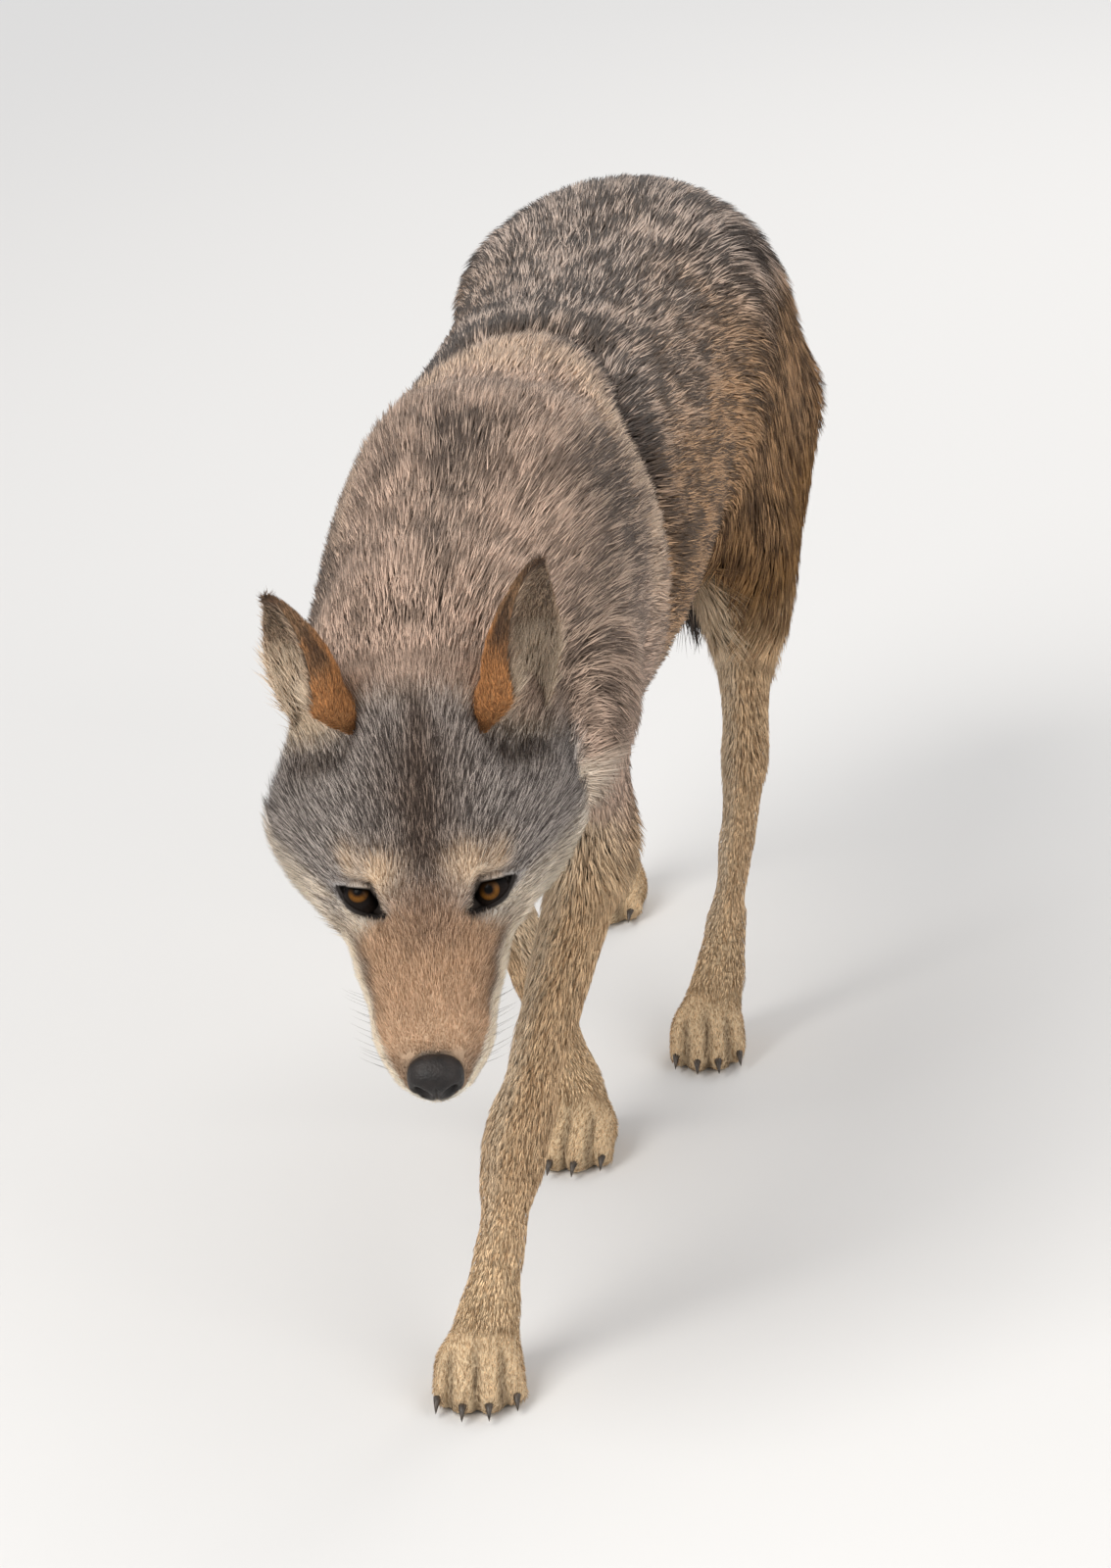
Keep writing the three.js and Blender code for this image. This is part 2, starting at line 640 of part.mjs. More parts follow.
/** Head, lower jaw, ears, eyes and nose. */
function makeHeadParts() {
  const nose = makeNose();
  const ears = { left: makeEar(LEFT), right: makeEar(RIGHT) };
  const eyes = { left: makeEye(LEFT), right: makeEye(RIGHT) };
  const whole = [nose.seat, ears.left.seat, ears.right.seat, eyes.left.pocket, eyes.right.pocket].reduce(
    (solid, hole) => solid.subtract(hole),
    netBehind(fleshOf.head, [headCut], headGrid(), headFrame));
  const mouthCorner = onHead(...MOUTH_CORNER).toArray();
  const jawSpace = (shift) => beyond(mouthCorner, headUp.clone().negate().toArray(), shift)
    .intersect(beyond(mouthCorner, headForward.toArray(), shift));
  return {
    head: whole.subtract(jawSpace(-GAP / 2)),
    lower_jaw: whole.intersect(jawSpace(GAP / 2)),
    ear_left: ears.left.ear,
    ear_right: ears.right.ear,
    eye_left: eyes.left.eye,
    eye_right: eyes.right.eye,
    nose: nose.nose,
  };
}

/** One leg as two nodes, cut at a level above its foot; the claws belong to the foot. */
function makeLeg(name, planes, [low, high], cell, cutLevel, claws) {
  const distance = flesh([name]);
  const upper = netBehind(distance, [...planes, backwards(level(cutLevel))], gridOf(low, high, cell));
  const footGrid = gridOf(low, [high[0], high[1], cutLevel + SPACES.leg.footAbove], CELLS.foot);
  const foot = netBehind(distance, [level(cutLevel), ground], footGrid);
  return { upper, foot: trim(claws.reduce((solid, claw) => solid.add(claw), foot), [ground]) };
}

/** All four legs. */
function makeLegs() {
  const around = (limb, joints, grow) => {
    const xs = joints.map((j) => limb[j][0]);
    const ys = joints.map((j) => limb[j][1]);
    return [
      [Math.min(...xs) - grow, Math.min(...ys) - grow, SPACES.leg.low],
      [Math.max(...xs) + grow, Math.max(...ys) + grow, SPACES.leg.high],
    ];
  };
  const nodes = {};
  for (const [name, limb] of Object.entries(FORE)) {
    const space = around(limb, ['elbow', 'wrist', 'knuckle', 'paw'], SPACES.leg.fore);
    const claws = makeClaws(limb, FORE_PAW);
    const made = makeLeg(`fore_${name}`, [foreCut], space, CELLS.foreleg, WRIST_CUT, claws);
    nodes[`foreleg_${name}`] = made.upper;
    nodes[`forepaw_${name}`] = made.foot;
  }
  for (const [name, limb] of Object.entries(HIND)) {
    const space = around(limb, ['hip', 'stifle', 'hock', 'knuckle', 'paw'], SPACES.leg.hind);
    const claws = makeClaws(limb, HIND_PAW);
    const planes = [thighCut(limb.side), { at: [0, 0, 0], out: [-limb.side, 0, 0] }];
    const made = makeLeg(`hind_${name}`, planes, space, CELLS.hindleg, HOCK_CUT, claws);
    nodes[`hindleg_${name}`] = trim(made.upper, [flankCut]);
    nodes[`hindfoot_${name}`] = made.foot;
  }
  return nodes;
}

/** Neck, trunk and tail. */
function makeBodyParts() {
  const neck = netBehind(
    fleshOf.neck, [backwards(headCut), neckCut], gridOf(...SPACES.neck, CELLS.neck));
  const trunkPlanes = [backwards(neckCut), tailCut];
  const trunkGrid = gridOf(...SPACES.trunk, CELLS.trunk);
  const tailGrid = gridOf(...SPACES.tail, CELLS.tail);
  const whole = netBehind(fleshOf.trunk, trunkPlanes, trunkGrid);
  const tail = netBehind(fleshOf.tail, [backwards(tailCut)], tailGrid);
  const below = beyond([0, 0, FORELEG_CUT], [0, 0, -1], -GAP / 2);
  const behindFlank = beyond(flankCut.at, backwards(flankCut).out, -GAP / 2);
  const trunk = [LEFT, RIGHT].reduce((rest, side) => {
    const { at, out } = backwards(thighCut(side));
    return rest.subtract(beyond(at, out, -GAP / 2).intersect(behindFlank));
  }, whole.subtract(below));
  const seats = makeEar(LEFT).seat.add(makeEar(RIGHT).seat);
  return { neck: neck.subtract(seats), trunk, tail };
}

/** Makes points closer than WELD to one another one, and drops what that leaves flat. */
function weld({ points, faces }) {
  const merged = [];
  const cubes = new Map();
  const order = points.map((point) => {
    const [x, y, z] = point.map((v) => Math.floor(v / WELD));
    for (let n = 0; n < 27; n += 1) {
      const key = [x + (n % 3) - 1, y + (Math.floor(n / 3) % 3) - 1, z + Math.floor(n / 9) - 1].join();
      const close = (cubes.get(key) ?? []).find(
        (i) => Math.hypot(...merged[i].map((v, axis) => v - point[axis])) < WELD);
      if (close !== undefined) return close;
    }
    const home = [x, y, z].join();
    if (!cubes.has(home)) cubes.set(home, []);
    cubes.get(home).push(merged.push(point) - 1);
    return merged.length - 1;
  });
  const kept = new Map();
  for (const face of faces) {
    const corners = face.map((i) => order[i]);
    if (new Set(corners).size < 3) continue;
    const key = [...corners].sort((a, b) => a - b).join();
    if (!kept.delete(key)) kept.set(key, corners); // two faces back to back enclose nothing
  }
  return { points: merged, faces: [...kept.values()] };
}

/** A manifold solid as a named three.js mesh. */
function meshOf(name, solid, finish) {
  const { vertProperties, triVerts, numProp } = solid.getMesh();
  const row = (values, i, width) => Array.from(values.slice(width * i, width * i + 3));
  const raw = {
    points: Array.from(
      { length: vertProperties.length / numProp },
      (_, i) => row(vertProperties, i, numProp)),
    faces: Array.from({ length: triVerts.length / 3 }, (_, i) => row(triVerts, i, 3)),
  };
  const { points, faces } = weld(raw);
  const geometry = new THREE.BufferGeometry();
  geometry.setAttribute('position', new THREE.Float32BufferAttribute(points.flat(), 3));
  geometry.setIndex(faces.flat());
  geometry.computeVertexNormals();
  const mesh = new THREE.Mesh(geometry, new THREE.MeshStandardMaterial(finish));
  mesh.name = name;
  return mesh;
}

/** The finish of a node by its name. */
function finishFor(name) {
  if (name.startsWith('eye')) return FINISH.eye;
  if (name.startsWith('ear')) return FINISH.ear;
  if (name === 'nose') return FINISH.nose;
  if (name === 'trunk' || name === 'tail') return FINISH.saddle;
  return /leg|paw|foot/.test(name) ? FINISH.leg : FINISH.coat;
}

const wolf = new THREE.Group();
const solids = { ...makeHeadParts(), ...makeBodyParts(), ...makeLegs() };
for (const [name, solid] of Object.entries(solids)) wolf.add(meshOf(name, solid, finishFor(name)));

// The origin is on the ground under the middle of the wolf's box.
const extent = new THREE.Box3().setFromObject(wolf);
const middle = extent.getCenter(new THREE.Vector3());
wolf.position.set(-middle.x, -middle.y, 0);
wolf.updateMatrixWorld(true);

export default wolf;
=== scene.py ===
"""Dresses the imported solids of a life-size grey wolf: skin, coat, eyes, nose, claws and whiskers.

The wolf walks slowly with its head low. All shapes are worked out in the wolf's own axes, in millimetres:
it faces -Y, its left side is +X, and the withers are over the origin. Places are in those axes unless a
docstring names others, and the meshes' own points are in metres.
"""

import json
import logging
import math
from contextlib import contextmanager
from dataclasses import dataclass
from enum import Enum
from typing import Callable, Iterator, Sequence

import bmesh
import bpy
import numpy as np
from mathutils import Matrix, Vector, kdtree

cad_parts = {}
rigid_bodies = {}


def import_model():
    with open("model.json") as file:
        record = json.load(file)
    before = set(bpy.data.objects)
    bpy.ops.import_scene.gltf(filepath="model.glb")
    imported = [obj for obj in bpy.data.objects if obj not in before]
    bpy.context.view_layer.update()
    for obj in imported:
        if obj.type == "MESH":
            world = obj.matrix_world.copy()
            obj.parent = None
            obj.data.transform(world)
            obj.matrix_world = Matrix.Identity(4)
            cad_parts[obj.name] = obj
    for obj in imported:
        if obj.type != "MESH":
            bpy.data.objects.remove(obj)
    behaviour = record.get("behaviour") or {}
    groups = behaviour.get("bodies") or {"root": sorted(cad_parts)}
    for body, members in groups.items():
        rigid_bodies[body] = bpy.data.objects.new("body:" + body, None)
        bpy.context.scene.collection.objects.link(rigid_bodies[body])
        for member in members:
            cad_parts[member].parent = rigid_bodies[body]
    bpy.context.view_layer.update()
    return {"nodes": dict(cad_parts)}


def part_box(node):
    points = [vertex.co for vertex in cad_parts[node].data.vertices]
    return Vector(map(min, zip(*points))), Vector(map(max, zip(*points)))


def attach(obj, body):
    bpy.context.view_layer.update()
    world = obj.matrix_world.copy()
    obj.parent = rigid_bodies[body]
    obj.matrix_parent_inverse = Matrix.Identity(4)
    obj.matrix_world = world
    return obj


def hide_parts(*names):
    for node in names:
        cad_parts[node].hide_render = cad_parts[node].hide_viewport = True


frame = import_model()

log = logging.getLogger("wolf")
Array = np.ndarray
Rng = np.random.Generator
Object, Material = bpy.types.Object, bpy.types.Material
Triple = tuple[float, float, float]
MM = 0.001
LEFT, RIGHT = 1.0, -1.0

# What the noise mixes a cell's place and the seed with.
MIX_CELL = np.array([374761393, 668265263, 1440662683])
MIX_SEED = 974634777
MIX_AGAIN = 1274126177
BITS_32, BITS_24 = 0xFFFFFFFF, 0xFFFFFF

# How many toes wide a paw is, and how many toes from its middle the gaps are.
TOES_ACROSS = 4.1
TOE_GAPS = (-1, 0, 1)
MM2_IN_CM2 = 100


class Slot(Enum):
    """Material slots of the record."""

    COAT = "coat"
    SADDLE = "saddle"
    EAR = "ear"
    LEG = "leg"
    EYE = "eye"
    NOSE = "nose"


# -------- small maths


def unit(v: Array) -> Array:
    """Vectors made one long."""
    return v / np.maximum(np.linalg.norm(v, axis=-1, keepdims=True), 1e-9)


def ramp(x: Array, low: float, high: float) -> Array:
    """A smooth step from 0 at low to 1 at high, which may be the smaller."""
    t = np.clip((x - low) / (high - low), 0.0, 1.0)
    return t * t * (3 - 2 * t)


def bell(distance: Array, width: float) -> Array:
    """A bell curve that is 1 at 0 and about 0.37 at width."""
    return np.exp(-((distance / width) ** 2))


def gap_from(place: Sequence[Array], middle: Sequence[float],
             wide: Sequence[float] = (1.0, 1.0, 1.0)) -> Array:
    """How far places lie from a middle, with each axis counted in its own width."""
    return np.sqrt(sum(((p - m) / w) ** 2 for p, m, w in zip(place, middle, wide)))


def noise(points: Array, size: float, seed: int = 0) -> Array:
    """Smooth random values from 0 to 1 in space.

    Args:
        points: Places, one in each row.
        size: Distance over which the value changes.
        seed: Which noise.

    Returns:
        One value for each place.
    """
    q = points / size + 1000.0
    cell = np.floor(q).astype(np.int64)
    t = q - cell
    t = t * t * (3 - 2 * t)
    total = np.zeros(len(points))
    for corner in range(8):
        step = np.array([corner & 1, (corner >> 1) & 1, (corner >> 2) & 1])
        mixed = ((cell + step) @ MIX_CELL + seed * MIX_SEED) & BITS_32
        mixed = ((mixed ^ (mixed >> 13)) * MIX_AGAIN) & BITS_32
        value = ((mixed ^ (mixed >> 16)) & BITS_24) / BITS_24
        weight = np.prod(np.where(step == 1, t, 1 - t), axis=1)
        total += weight * value
    return total


def linear(tone: str) -> Array:
    """A colour written as six hex digits, as linear light by the sRGB curve."""
    c = np.array([int(tone[i : i + 2], 16) for i in (0, 2, 4)]) / 255
    return np.where(c <= 0.04045, c / 12.92, ((c + 0.055) / 1.055) ** 2.4)


# -------- places


@dataclass(frozen=True)
class HeadAxes:
    """The head's own axes, from midway between the eyes: forward, to its left, and up."""

    eyes: Triple = (15.0, -360.0, 405.0)
    turn: float = 11.5
    pitch: float = 43.0

    def basis(self) -> Array:
        """The three axes.

        Returns:
            A row each for forward, left and up.
        """
        t, p = math.radians(self.turn), math.radians(self.pitch)
        forward = np.array([math.sin(t) * math.cos(p), -math.cos(t) * math.cos(p), -math.sin(p)])
        left = np.array([math.cos(t), math.sin(t), 0.0])
        return np.array([forward, left, np.cross(forward, left)])

    def local(self, points: Array) -> Array:
        """Places in the head's axes."""
        return (points - np.array(self.eyes)) @ self.basis().T

    def halved(self, points: Array) -> tuple[Array, Array, Array]:
        """Forward, distance from the middle plane, and up, of each place."""
        f, left, u = self.local(points).T
        return f, np.abs(left), u

    def world(self, flu: Array | Sequence[float]) -> Array:
        """Places in the wolf's axes."""
        return np.asarray(flu, dtype=float) @ self.basis() + np.array(self.eyes)

    def along(self, flu: Array | Sequence[float]) -> Array:
        """Directions in the wolf's axes."""
        return np.asarray(flu, dtype=float) @ self.basis()


HEAD = HeadAxes()


def head_zone(points: Array) -> Array:
    """Where the head is, with a soft edge behind the ears."""
    f, side, u = HEAD.halved(points)
    return ramp(f, -150, -122) * ramp(u, -135, -115) * ramp(side, 150, 130) * ramp(f, 190, 170)


def mouth_line(f: Array) -> Array:
    """Where the lips meet: lower at the corner of the mouth, and turned up under the nose."""
    return -50 + 0.035 * (f - 70) - 6 * ramp(f, 60, 24) + 5 * ramp(f, 104, 124)


def tail_gap(points: Array) -> Array:
    """Distance from the line of the tail.

    Args:
        points: Places.

    Returns:
        Millimetres for each.
    """
    gap = np.full(len(points), np.inf)
    for start, end in zip(TAIL_LINE[:-1], TAIL_LINE[1:]):
        a, b = np.array(start, dtype=float), np.array(end, dtype=float)
        t = np.clip((points - a) @ (b - a) / ((b - a) @ (b - a)), 0, 1)
        gap = np.minimum(gap, np.linalg.norm(points - a - t[:, None] * (b - a), axis=1))
    return gap


def cape_line(z: Array) -> Array:
    """Where the pale cape of neck and shoulders ends."""
    return np.interp(z, *CAPE_EDGE)


def cape_fringe(points: Array) -> Array:
    """How far the cape's edge strays from its line, the same for skin and coat."""
    return 44 * (noise(points, 46, 11) - 0.5)


# The tail's middle line from root to tip, and the cape's edge as heights and the Y at each.
TAIL_LINE = ((0, 640, 560), (0, 662, 520), (1, 688, 415), (5, 684, 222))
CAPE_EDGE = ((400, 480, 560, 600, 622, 645), (80, 50, 30, 48, 98, 132))

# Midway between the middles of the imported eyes, in the head's axes.
BETWEEN_EYES = (-5.0, 0.0, 0.0)


def _home() -> Array:
    """Where the wolf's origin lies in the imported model.

    Returns:
        Metres to add to a place in the wolf's axes.
    """
    boxes = (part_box("eye_left"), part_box("eye_right"))
    middles = [(np.array(low) + np.array(high)) / 2 for low, high in boxes]
    home = (middles[0] + middles[1]) / 2 - HEAD.world(BETWEEN_EYES) * MM
    home[2] = 0.0
    return home


HOME = _home()


def to_wolf(points: Array) -> Array:
    """Metres in the model to millimetres in the wolf's axes."""
    return (points - HOME) / MM


def to_model(points: Array) -> Array:
    """Millimetres in the wolf's axes to metres in the model."""
    return points * MM + HOME


@dataclass(frozen=True)
class Paw:
    """Where a paw stands, how it is turned in degrees, and its size."""

    at: tuple[float, float]
    turn: float
    long: float
    wide: float
    high: float

    @property
    def toe(self) -> float:
        """A toe's width."""
        return self.wide / TOES_ACROSS

    def local(self, points: Array) -> Array:
        """Places in the paw's axes, from the ground under it; the toes are towards -Y.

        Args:
            points: Places.

        Returns:
            X, Y and Z of each.
        """
        t = math.radians(self.turn)
        q = points - np.array([*self.at, 0.0])
        x = q[:, 0] * math.cos(t) + q[:, 1] * math.sin(t)
        y = -q[:, 0] * math.sin(t) + q[:, 1] * math.cos(t)
        return np.stack([x, y, q[:, 2]], axis=1)

    def world(self, points: Array) -> Array:
        """Places in the wolf's axes.

        Args:
            points: Places in the paw's axes.

        Returns:
            X, Y and Z of each.
        """
        t = math.radians(self.turn)
        x = points[:, 0] * math.cos(t) - points[:, 1] * math.sin(t) + self.at[0]
        y = points[:, 0] * math.sin(t) + points[:, 1] * math.cos(t) + self.at[1]
        return np.stack([x, y, points[:, 2]], axis=1)


# The left and right forepaw, then the left and right hind paw.
PAWS = (
    Paw((7, -285), 8, 96, 74, 46),
    Paw((0, 104), -4, 96, 74, 46),
    Paw((69, 290), 10, 90, 66, 43),
    Paw((-60, 578), -8, 90, 66, 43),
)


@dataclass(frozen=True)
class Guide:
    """A line that the coat flows along, and what the coat is like around it.

    reach is how thick the flesh is there, depth how far the coat stands off the skin, length and wide are a
    tuft's, and fall is how much the hair hangs.
    """

    start: Sequence[float]
    end: Sequence[float]
    reach: float
    depth: float
    length: float
    wide: float
    fall: float = 0.0


def _on_head(f: float, left: float, u: float) -> tuple[float, ...]:
    """One place on the head."""
    return tuple(HEAD.world((f, left, u)))


def _guides() -> list[Guide]:
    """All the lines of the coat, from nose to tail.

    Returns:
        The guides.
    """
    guides = [
        Guide(_on_head(130, 0, -30), _on_head(30, 0, -34), 34, 2.2, 5, 0.6),
        Guide(_on_head(30, 0, -20), _on_head(-60, 0, -14), 58, 4.0, 8, 0.7),
        Guide(_on_head(-60, 0, -10), _on_head(-140, 0, -20), 66, 7.0, 13, 0.8),
        Guide((-2, -178, 494), (0, -50, 528), 95, 17.0, 31, 0.95, 0.15),
        Guide((0, -50, 500), (0, 620, 530), 115, 15.0, 31, 1.3, 0.32),
        Guide((0, 606, 586), (0, 662, 520), 38, 20.0, 44, 1.6),
        Guide((0, 662, 520), (1, 688, 415), 44, 24.0, 54, 1.7),
        Guide((1, 688, 415), (5, 684, 222), 42, 24.0, 56, 1.7),
    ]
    for side in (LEFT, RIGHT):
        guides += [
            Guide(_on_head(-20, 50 * side, -40), _on_head(-75, 78 * side, -62), 30, 9.0, 22, 1.1),
            Guide(_on_head(-82, 62 * side, 8), _on_head(-132, 72 * side, 10), 40, 6.5, 19, 0.9),
            Guide(_on_head(-70, 76 * side, -60), _on_head(-130, 96 * side, -84), 38, 15.0, 34, 1.3),
        ]
    fores = (
        ((80, -158, 474), (72, -84, 336), (27, -208, 156), (12, -262, 52)),
        ((-80, -124, 462), (-68, 18, 342), (-16, 92, 150), (-2, 122, 50)),
    )
    for shoulder, elbow, wrist, knuckle in fores:
        guides += [
            Guide(shoulder, elbow, 44, 13.0, 30, 1.2),
            Guide(elbow, wrist, 27, 5.0, 15, 0.95),
            Guide(wrist, knuckle, 21, 3.4, 10, 0.9),
        ]
    hinds = (
        ((70, 492, 536), (92, 540, 454), (104, 362, 412), (92, 394, 205), (75, 316, 50)),
        ((-64, 490, 540), (-74, 556, 470), (-88, 424, 390), (-78, 570, 216), (-64, 598, 50)),
    )
    for hip, seat, stifle, hock, knuckle in hinds:
        calf = tuple(s + (h - s) * 0.35 for s, h in zip(stifle, hock))
        guides += [
            Guide(hip, stifle, 78, 14.0, 33, 1.3, 0.2),
            Guide(seat, calf, 52, 12.0, 31, 1.3),
            Guide(stifle, calf, 40, 10.5, 26, 1.4),
            Guide(calf, hock, 26, 5.5, 16, 1.0),
            Guide(hock, knuckle, 21, 3.4, 10, 0.9),
        ]
    for paw in PAWS:
        wrist, toes = (0.0, 0.2 * paw.long, 0.5 * paw.high), (0.0, -0.5 * paw.long, 0.2 * paw.high)
        guides.append(Guide(*paw.world(np.array([wrist, toes])), 30, 1.9, 5.5, 0.8))
    return guides


class Flow:
    """The lie, depth and length of the coat all over the body, which fade from guide to guide."""

    FADE = 6
    NEAREST = 0.3

    def __init__(self, guides: list[Guide]) -> None:
        """Keeps the guides as arrays.

        Args:
            guides: The lines of the coat.
        """
        self.start = np.array([g.start for g in guides], dtype=float)
        self.end = np.array([g.end for g in guides], dtype=float)
        self.reach = np.array([g.reach for g in guides])
        self.facts = np.array([(g.depth, g.length, g.wide) for g in guides])
        self.way = unit(self.end - self.start)
        self.way[:, 2] -= np.array([g.fall for g in guides])

    def at(self, points: Array) -> tuple[Array, Array]:
        """The coat at some places.

        Args:
            points: Places.

        Returns:
            The direction of the hair, and a row of depth, length and width.
        """
        axis = self.end - self.start
        long2 = (axis**2).sum(axis=1)
        weights = np.zeros((len(points), len(axis)))
        for i in range(len(axis)):
            offset = points - self.start[i]
            t = np.clip(offset @ axis[i] / long2[i], 0.0, 1.0)
            gap = np.linalg.norm(offset - t[:, None] * axis[i], axis=1)
            weights[:, i] = 1 / (np.maximum(gap / self.reach[i], self.NEAREST) ** self.FADE)
        weights /= weights.sum(axis=1, keepdims=True)
        return unit(weights @ self.way), weights @ self.facts


FLOW = Flow(_guides())


# -------- markings


@dataclass(frozen=True)
class Tone:
    """A mix of pale and dark hairs: two colours, and the share that is dark."""

    pale: str
    dark: str
    share: float


class Tones(Enum):
    """The colours of the coat by place."""

    FLANK = Tone("bf9e7c", "57483a", 0.50)
    SADDLE = Tone("c2b5ac", "332e2c", 0.57)
    BELLY = Tone("cdbb9d", "9c8769", 0.30)
    NAPE = Tone("ccb7a8", "88786c", 0.42)
    THROAT = Tone("d9cbb2", "a08f78", 0.25)
    PATCH = Tone("a5968a", "38312f", 0.66)
    SHOULDER = Tone("ad9c8d", "463d38", 0.55)
    # Dark hairs as painted shade in the fold behind the shoulders.
    CREASE = Tone("8a7d75", "302b29", 0.82)
    EDGE = Tone("d6c3ac", "8d7b6c", 0.25)
    # The thighs' own tawny colour, painted darker as painted shade.
    THIGH = Tone("a07e54", "5a4128", 0.50)
    LEG = Tone("dcc3a0", "a08363", 0.33)
    PALE_LEG = Tone("e0d3bd", "b8a487", 0.24)
    PAW = Tone("e0caa8", "9c8160", 0.34)
    TAIL = Tone("b8a48c", "443b35", 0.50)
    TIP = Tone("4a413b", "231f1d", 0.70)
    CROWN = Tone("bcb7b4", "45403e", 0.52)
    STRIPE = Tone("8a786b", "3a302b", 0.76)
    BRIDGE = Tone("a48c79", "6a5545", 0.55)
    BROW = Tone("d6c2a8", "a88d70", 0.22)
    MUZZLE = Tone("c8ab90", "9e8164", 0.40)
    WHITE = Tone("eae3d3", "cfc0a6", 0.20)
    CHEEK = Tone("e4ddd0", "9c9080", 0.3)
    EYE_RIM = Tone("3a2d26", "191411", 0.70)
    LIP = Tone("3f342e", "1d1816", 0.70)
    EAR_BACK = Tone("94765a", "56432f", 0.45)
    EAR_RUST = Tone("b98656", "765234", 0.42)
    EAR_EDGE = Tone("5c4636", "2d221b", 0.60)
    EAR_INNER = Tone("bba893", "75665a", 0.42)


class HairMix:
    """Pale colour, dark colour and share of dark hairs at some places."""

    def __init__(self, count: int) -> None:
        """Starts with no tone laid."""
        self.pale, self.dark, self.share = np.zeros((count, 3)), np.zeros((count, 3)), np.zeros(count)

    def lay(self, mask: Array | float, tone: Tones) -> None:
        """Lays a tone over what is there.

        Args:
            mask: How much of it.
            tone: Which.
        """
        much = np.broadcast_to(np.clip(mask, 0, 1), len(self.share))
        self.pale += (linear(tone.value.pale) - self.pale) * much[:, None]
        self.dark += (linear(tone.value.dark) - self.dark) * much[:, None]
        self.share += (tone.value.share - self.share) * much

    def mean(self) -> Array:
        """The colour of pale and dark hairs together."""
        return self.dark + (self.pale - self.dark) * (1 - self.share)[:, None]


class Markings(HairMix):
    """The hairs that the body's markings, which skin and coat share, give at some places."""

    MOTTLE = 0.5
    FACE_MARKS = (
        ((-4, 29, 19), (13, 14, 10), Tones.BROW, 1.0),
        ((-15, 46, 12), (12, 11, 8), Tones.BROW, 0.75),
        ((14, 45, -14), (12, 10, 9), Tones.CHEEK, 0.8),
        ((-126, 48, 36), (16, 12, 14), Tones.EAR_RUST, 0.75),
        ((-112, 78, 24), (13, 14, 14), Tones.EAR_INNER, 0.9),
        ((-88, 84, 6), (13, 13, 15), Tones.STRIPE, 0.35),
    )

    def __init__(self, points: Array, normals: Array) -> None:
        """Lays all the tones.

        Args:
            points: Places.
            normals: The way each place faces.
        """
        super().__init__(len(points))
        self.points, self.normals = points, normals
        self.wave = noise(points, 70, 1) + 0.5 * noise(points, 24, 3) - 0.75
        self.small = noise(points, 14, 2) - 0.5
        self.zone = head_zone(points)
        _, y, z = points.T
        tail = ramp(tail_gap(points), 92, 68)
        self.lay(1.0, Tones.FLANK)
        self.lay(ramp(z + 60 * self.wave, 535, 625), Tones.SADDLE)
        self.lay(ramp(z + 50 * self.wave, 425, 365) * ramp(y, -150, -60), Tones.BELLY)
        self._fore_end()
        self.share += (1 - self.zone) * (noise(points, 10, 4) - 0.5) * self.MOTTLE
        self._legs((1 - self.zone) * (1 - tail))
        self.lay(tail, Tones.TAIL)
        self.lay(tail * ramp(y - 676 + 30 * self.wave, -30, 20) * 0.7, Tones.SADDLE)
        self.lay(tail * ramp(z + 40 * self.wave, 292, 245), Tones.TIP)
        self._head()
        self.share = np.clip(self.share, 0, 1)

    def _fore_end(self) -> None:
        """Lays the tones of neck, withers and shoulders."""
        lay, wave, small = self.lay, self.wave, self.small
        x, y, z = self.points.T
        wide = np.abs(x)
        behind = y - cape_line(z) + 30 * wave + cape_fringe(self.points)
        lay(ramp(behind, 10, -44) * ramp(z, 330, 400), Tones.NAPE)
        shoulder = bell(np.hypot(y + 62, (z - 580) * 0.8) + 50 * wave, 68) * ramp(wide, 40, 72)
        lay(shoulder * np.where(x > 0, 0.95, 0.2), Tones.SHOULDER)
        lay(bell(np.hypot(y + 76, z - 598) + 30 * wave, 48) * ramp(-x, 58, 78) * 0.9, Tones.EDGE)
        neck_side = bell((z - 528 - 0.25 * (y + 150)) + 30 * wave, 34)
        lay(neck_side * ramp(wide, 58, 80) * ramp(y, -60, -130) * 0.75, Tones.SHOULDER)
        lay(bell(behind + 48, 22) * ramp(z, 430, 520) * 0.6, Tones.EDGE)
        withers = np.hypot(np.hypot(x * 1.1, (y + 98) * 0.8), (z - 628) * 0.8)
        lay(bell(withers + 80 * small, 42) * 0.8, Tones.PATCH)
        mane = bell(x + 12 * small, 12) * ramp(y, -60, -110) * ramp(y, -270, -200)
        lay(mane * (z > 520) * 0.55, Tones.PATCH)
        # Painted shade in the fold behind the shoulders.
        lay(bell(behind - 21, 30) * ramp(z, 465, 575) * 0.95, Tones.CREASE)
        lay(ramp(y, -90, -150) * ramp(z + 0.75 * (y + 178) + 40 * wave, 432, 385), Tones.THROAT)

    def _legs(self, limbs: Array) -> None:
        """Lays the tones of legs and feet.

        Args:
            limbs: Where neither head nor tail is.
        """
        lay, wave = self.lay, self.wave
        x, y, z = self.points.T
        # The thighs' tawny tone, partly their own colour and partly painted shade.
        lay(limbs * ramp(y, 250, 330) * ramp(z + 70 * wave, 520, 400), Tones.THIGH)
        lay(limbs * ramp(z + 50 * wave, 385, 290), Tones.LEG)
        inward = ramp(-self.normals[:, 0] * np.sign(x), -0.2, 0.6) * ramp(np.abs(x), 0, 25)
        lay(limbs * inward * ramp(z, 440, 360) * 0.7, Tones.PALE_LEG)
        lay(limbs * ramp(z, 125, 60), Tones.PAW)
        for paw in PAWS:
            across, along, high = paw.local(self.points).T
            toes = limbs * ramp(high, 60, 40) * ramp(along, 0, -0.2 * paw.long) * (along > -paw.long)
            # Painted shade between the toes, in the dark tone of the lips.
            between = np.max([bell(across - k * paw.toe, 2.6) for k in TOE_GAPS], axis=0)
            lay(toes * between * 0.5, Tones.LIP)

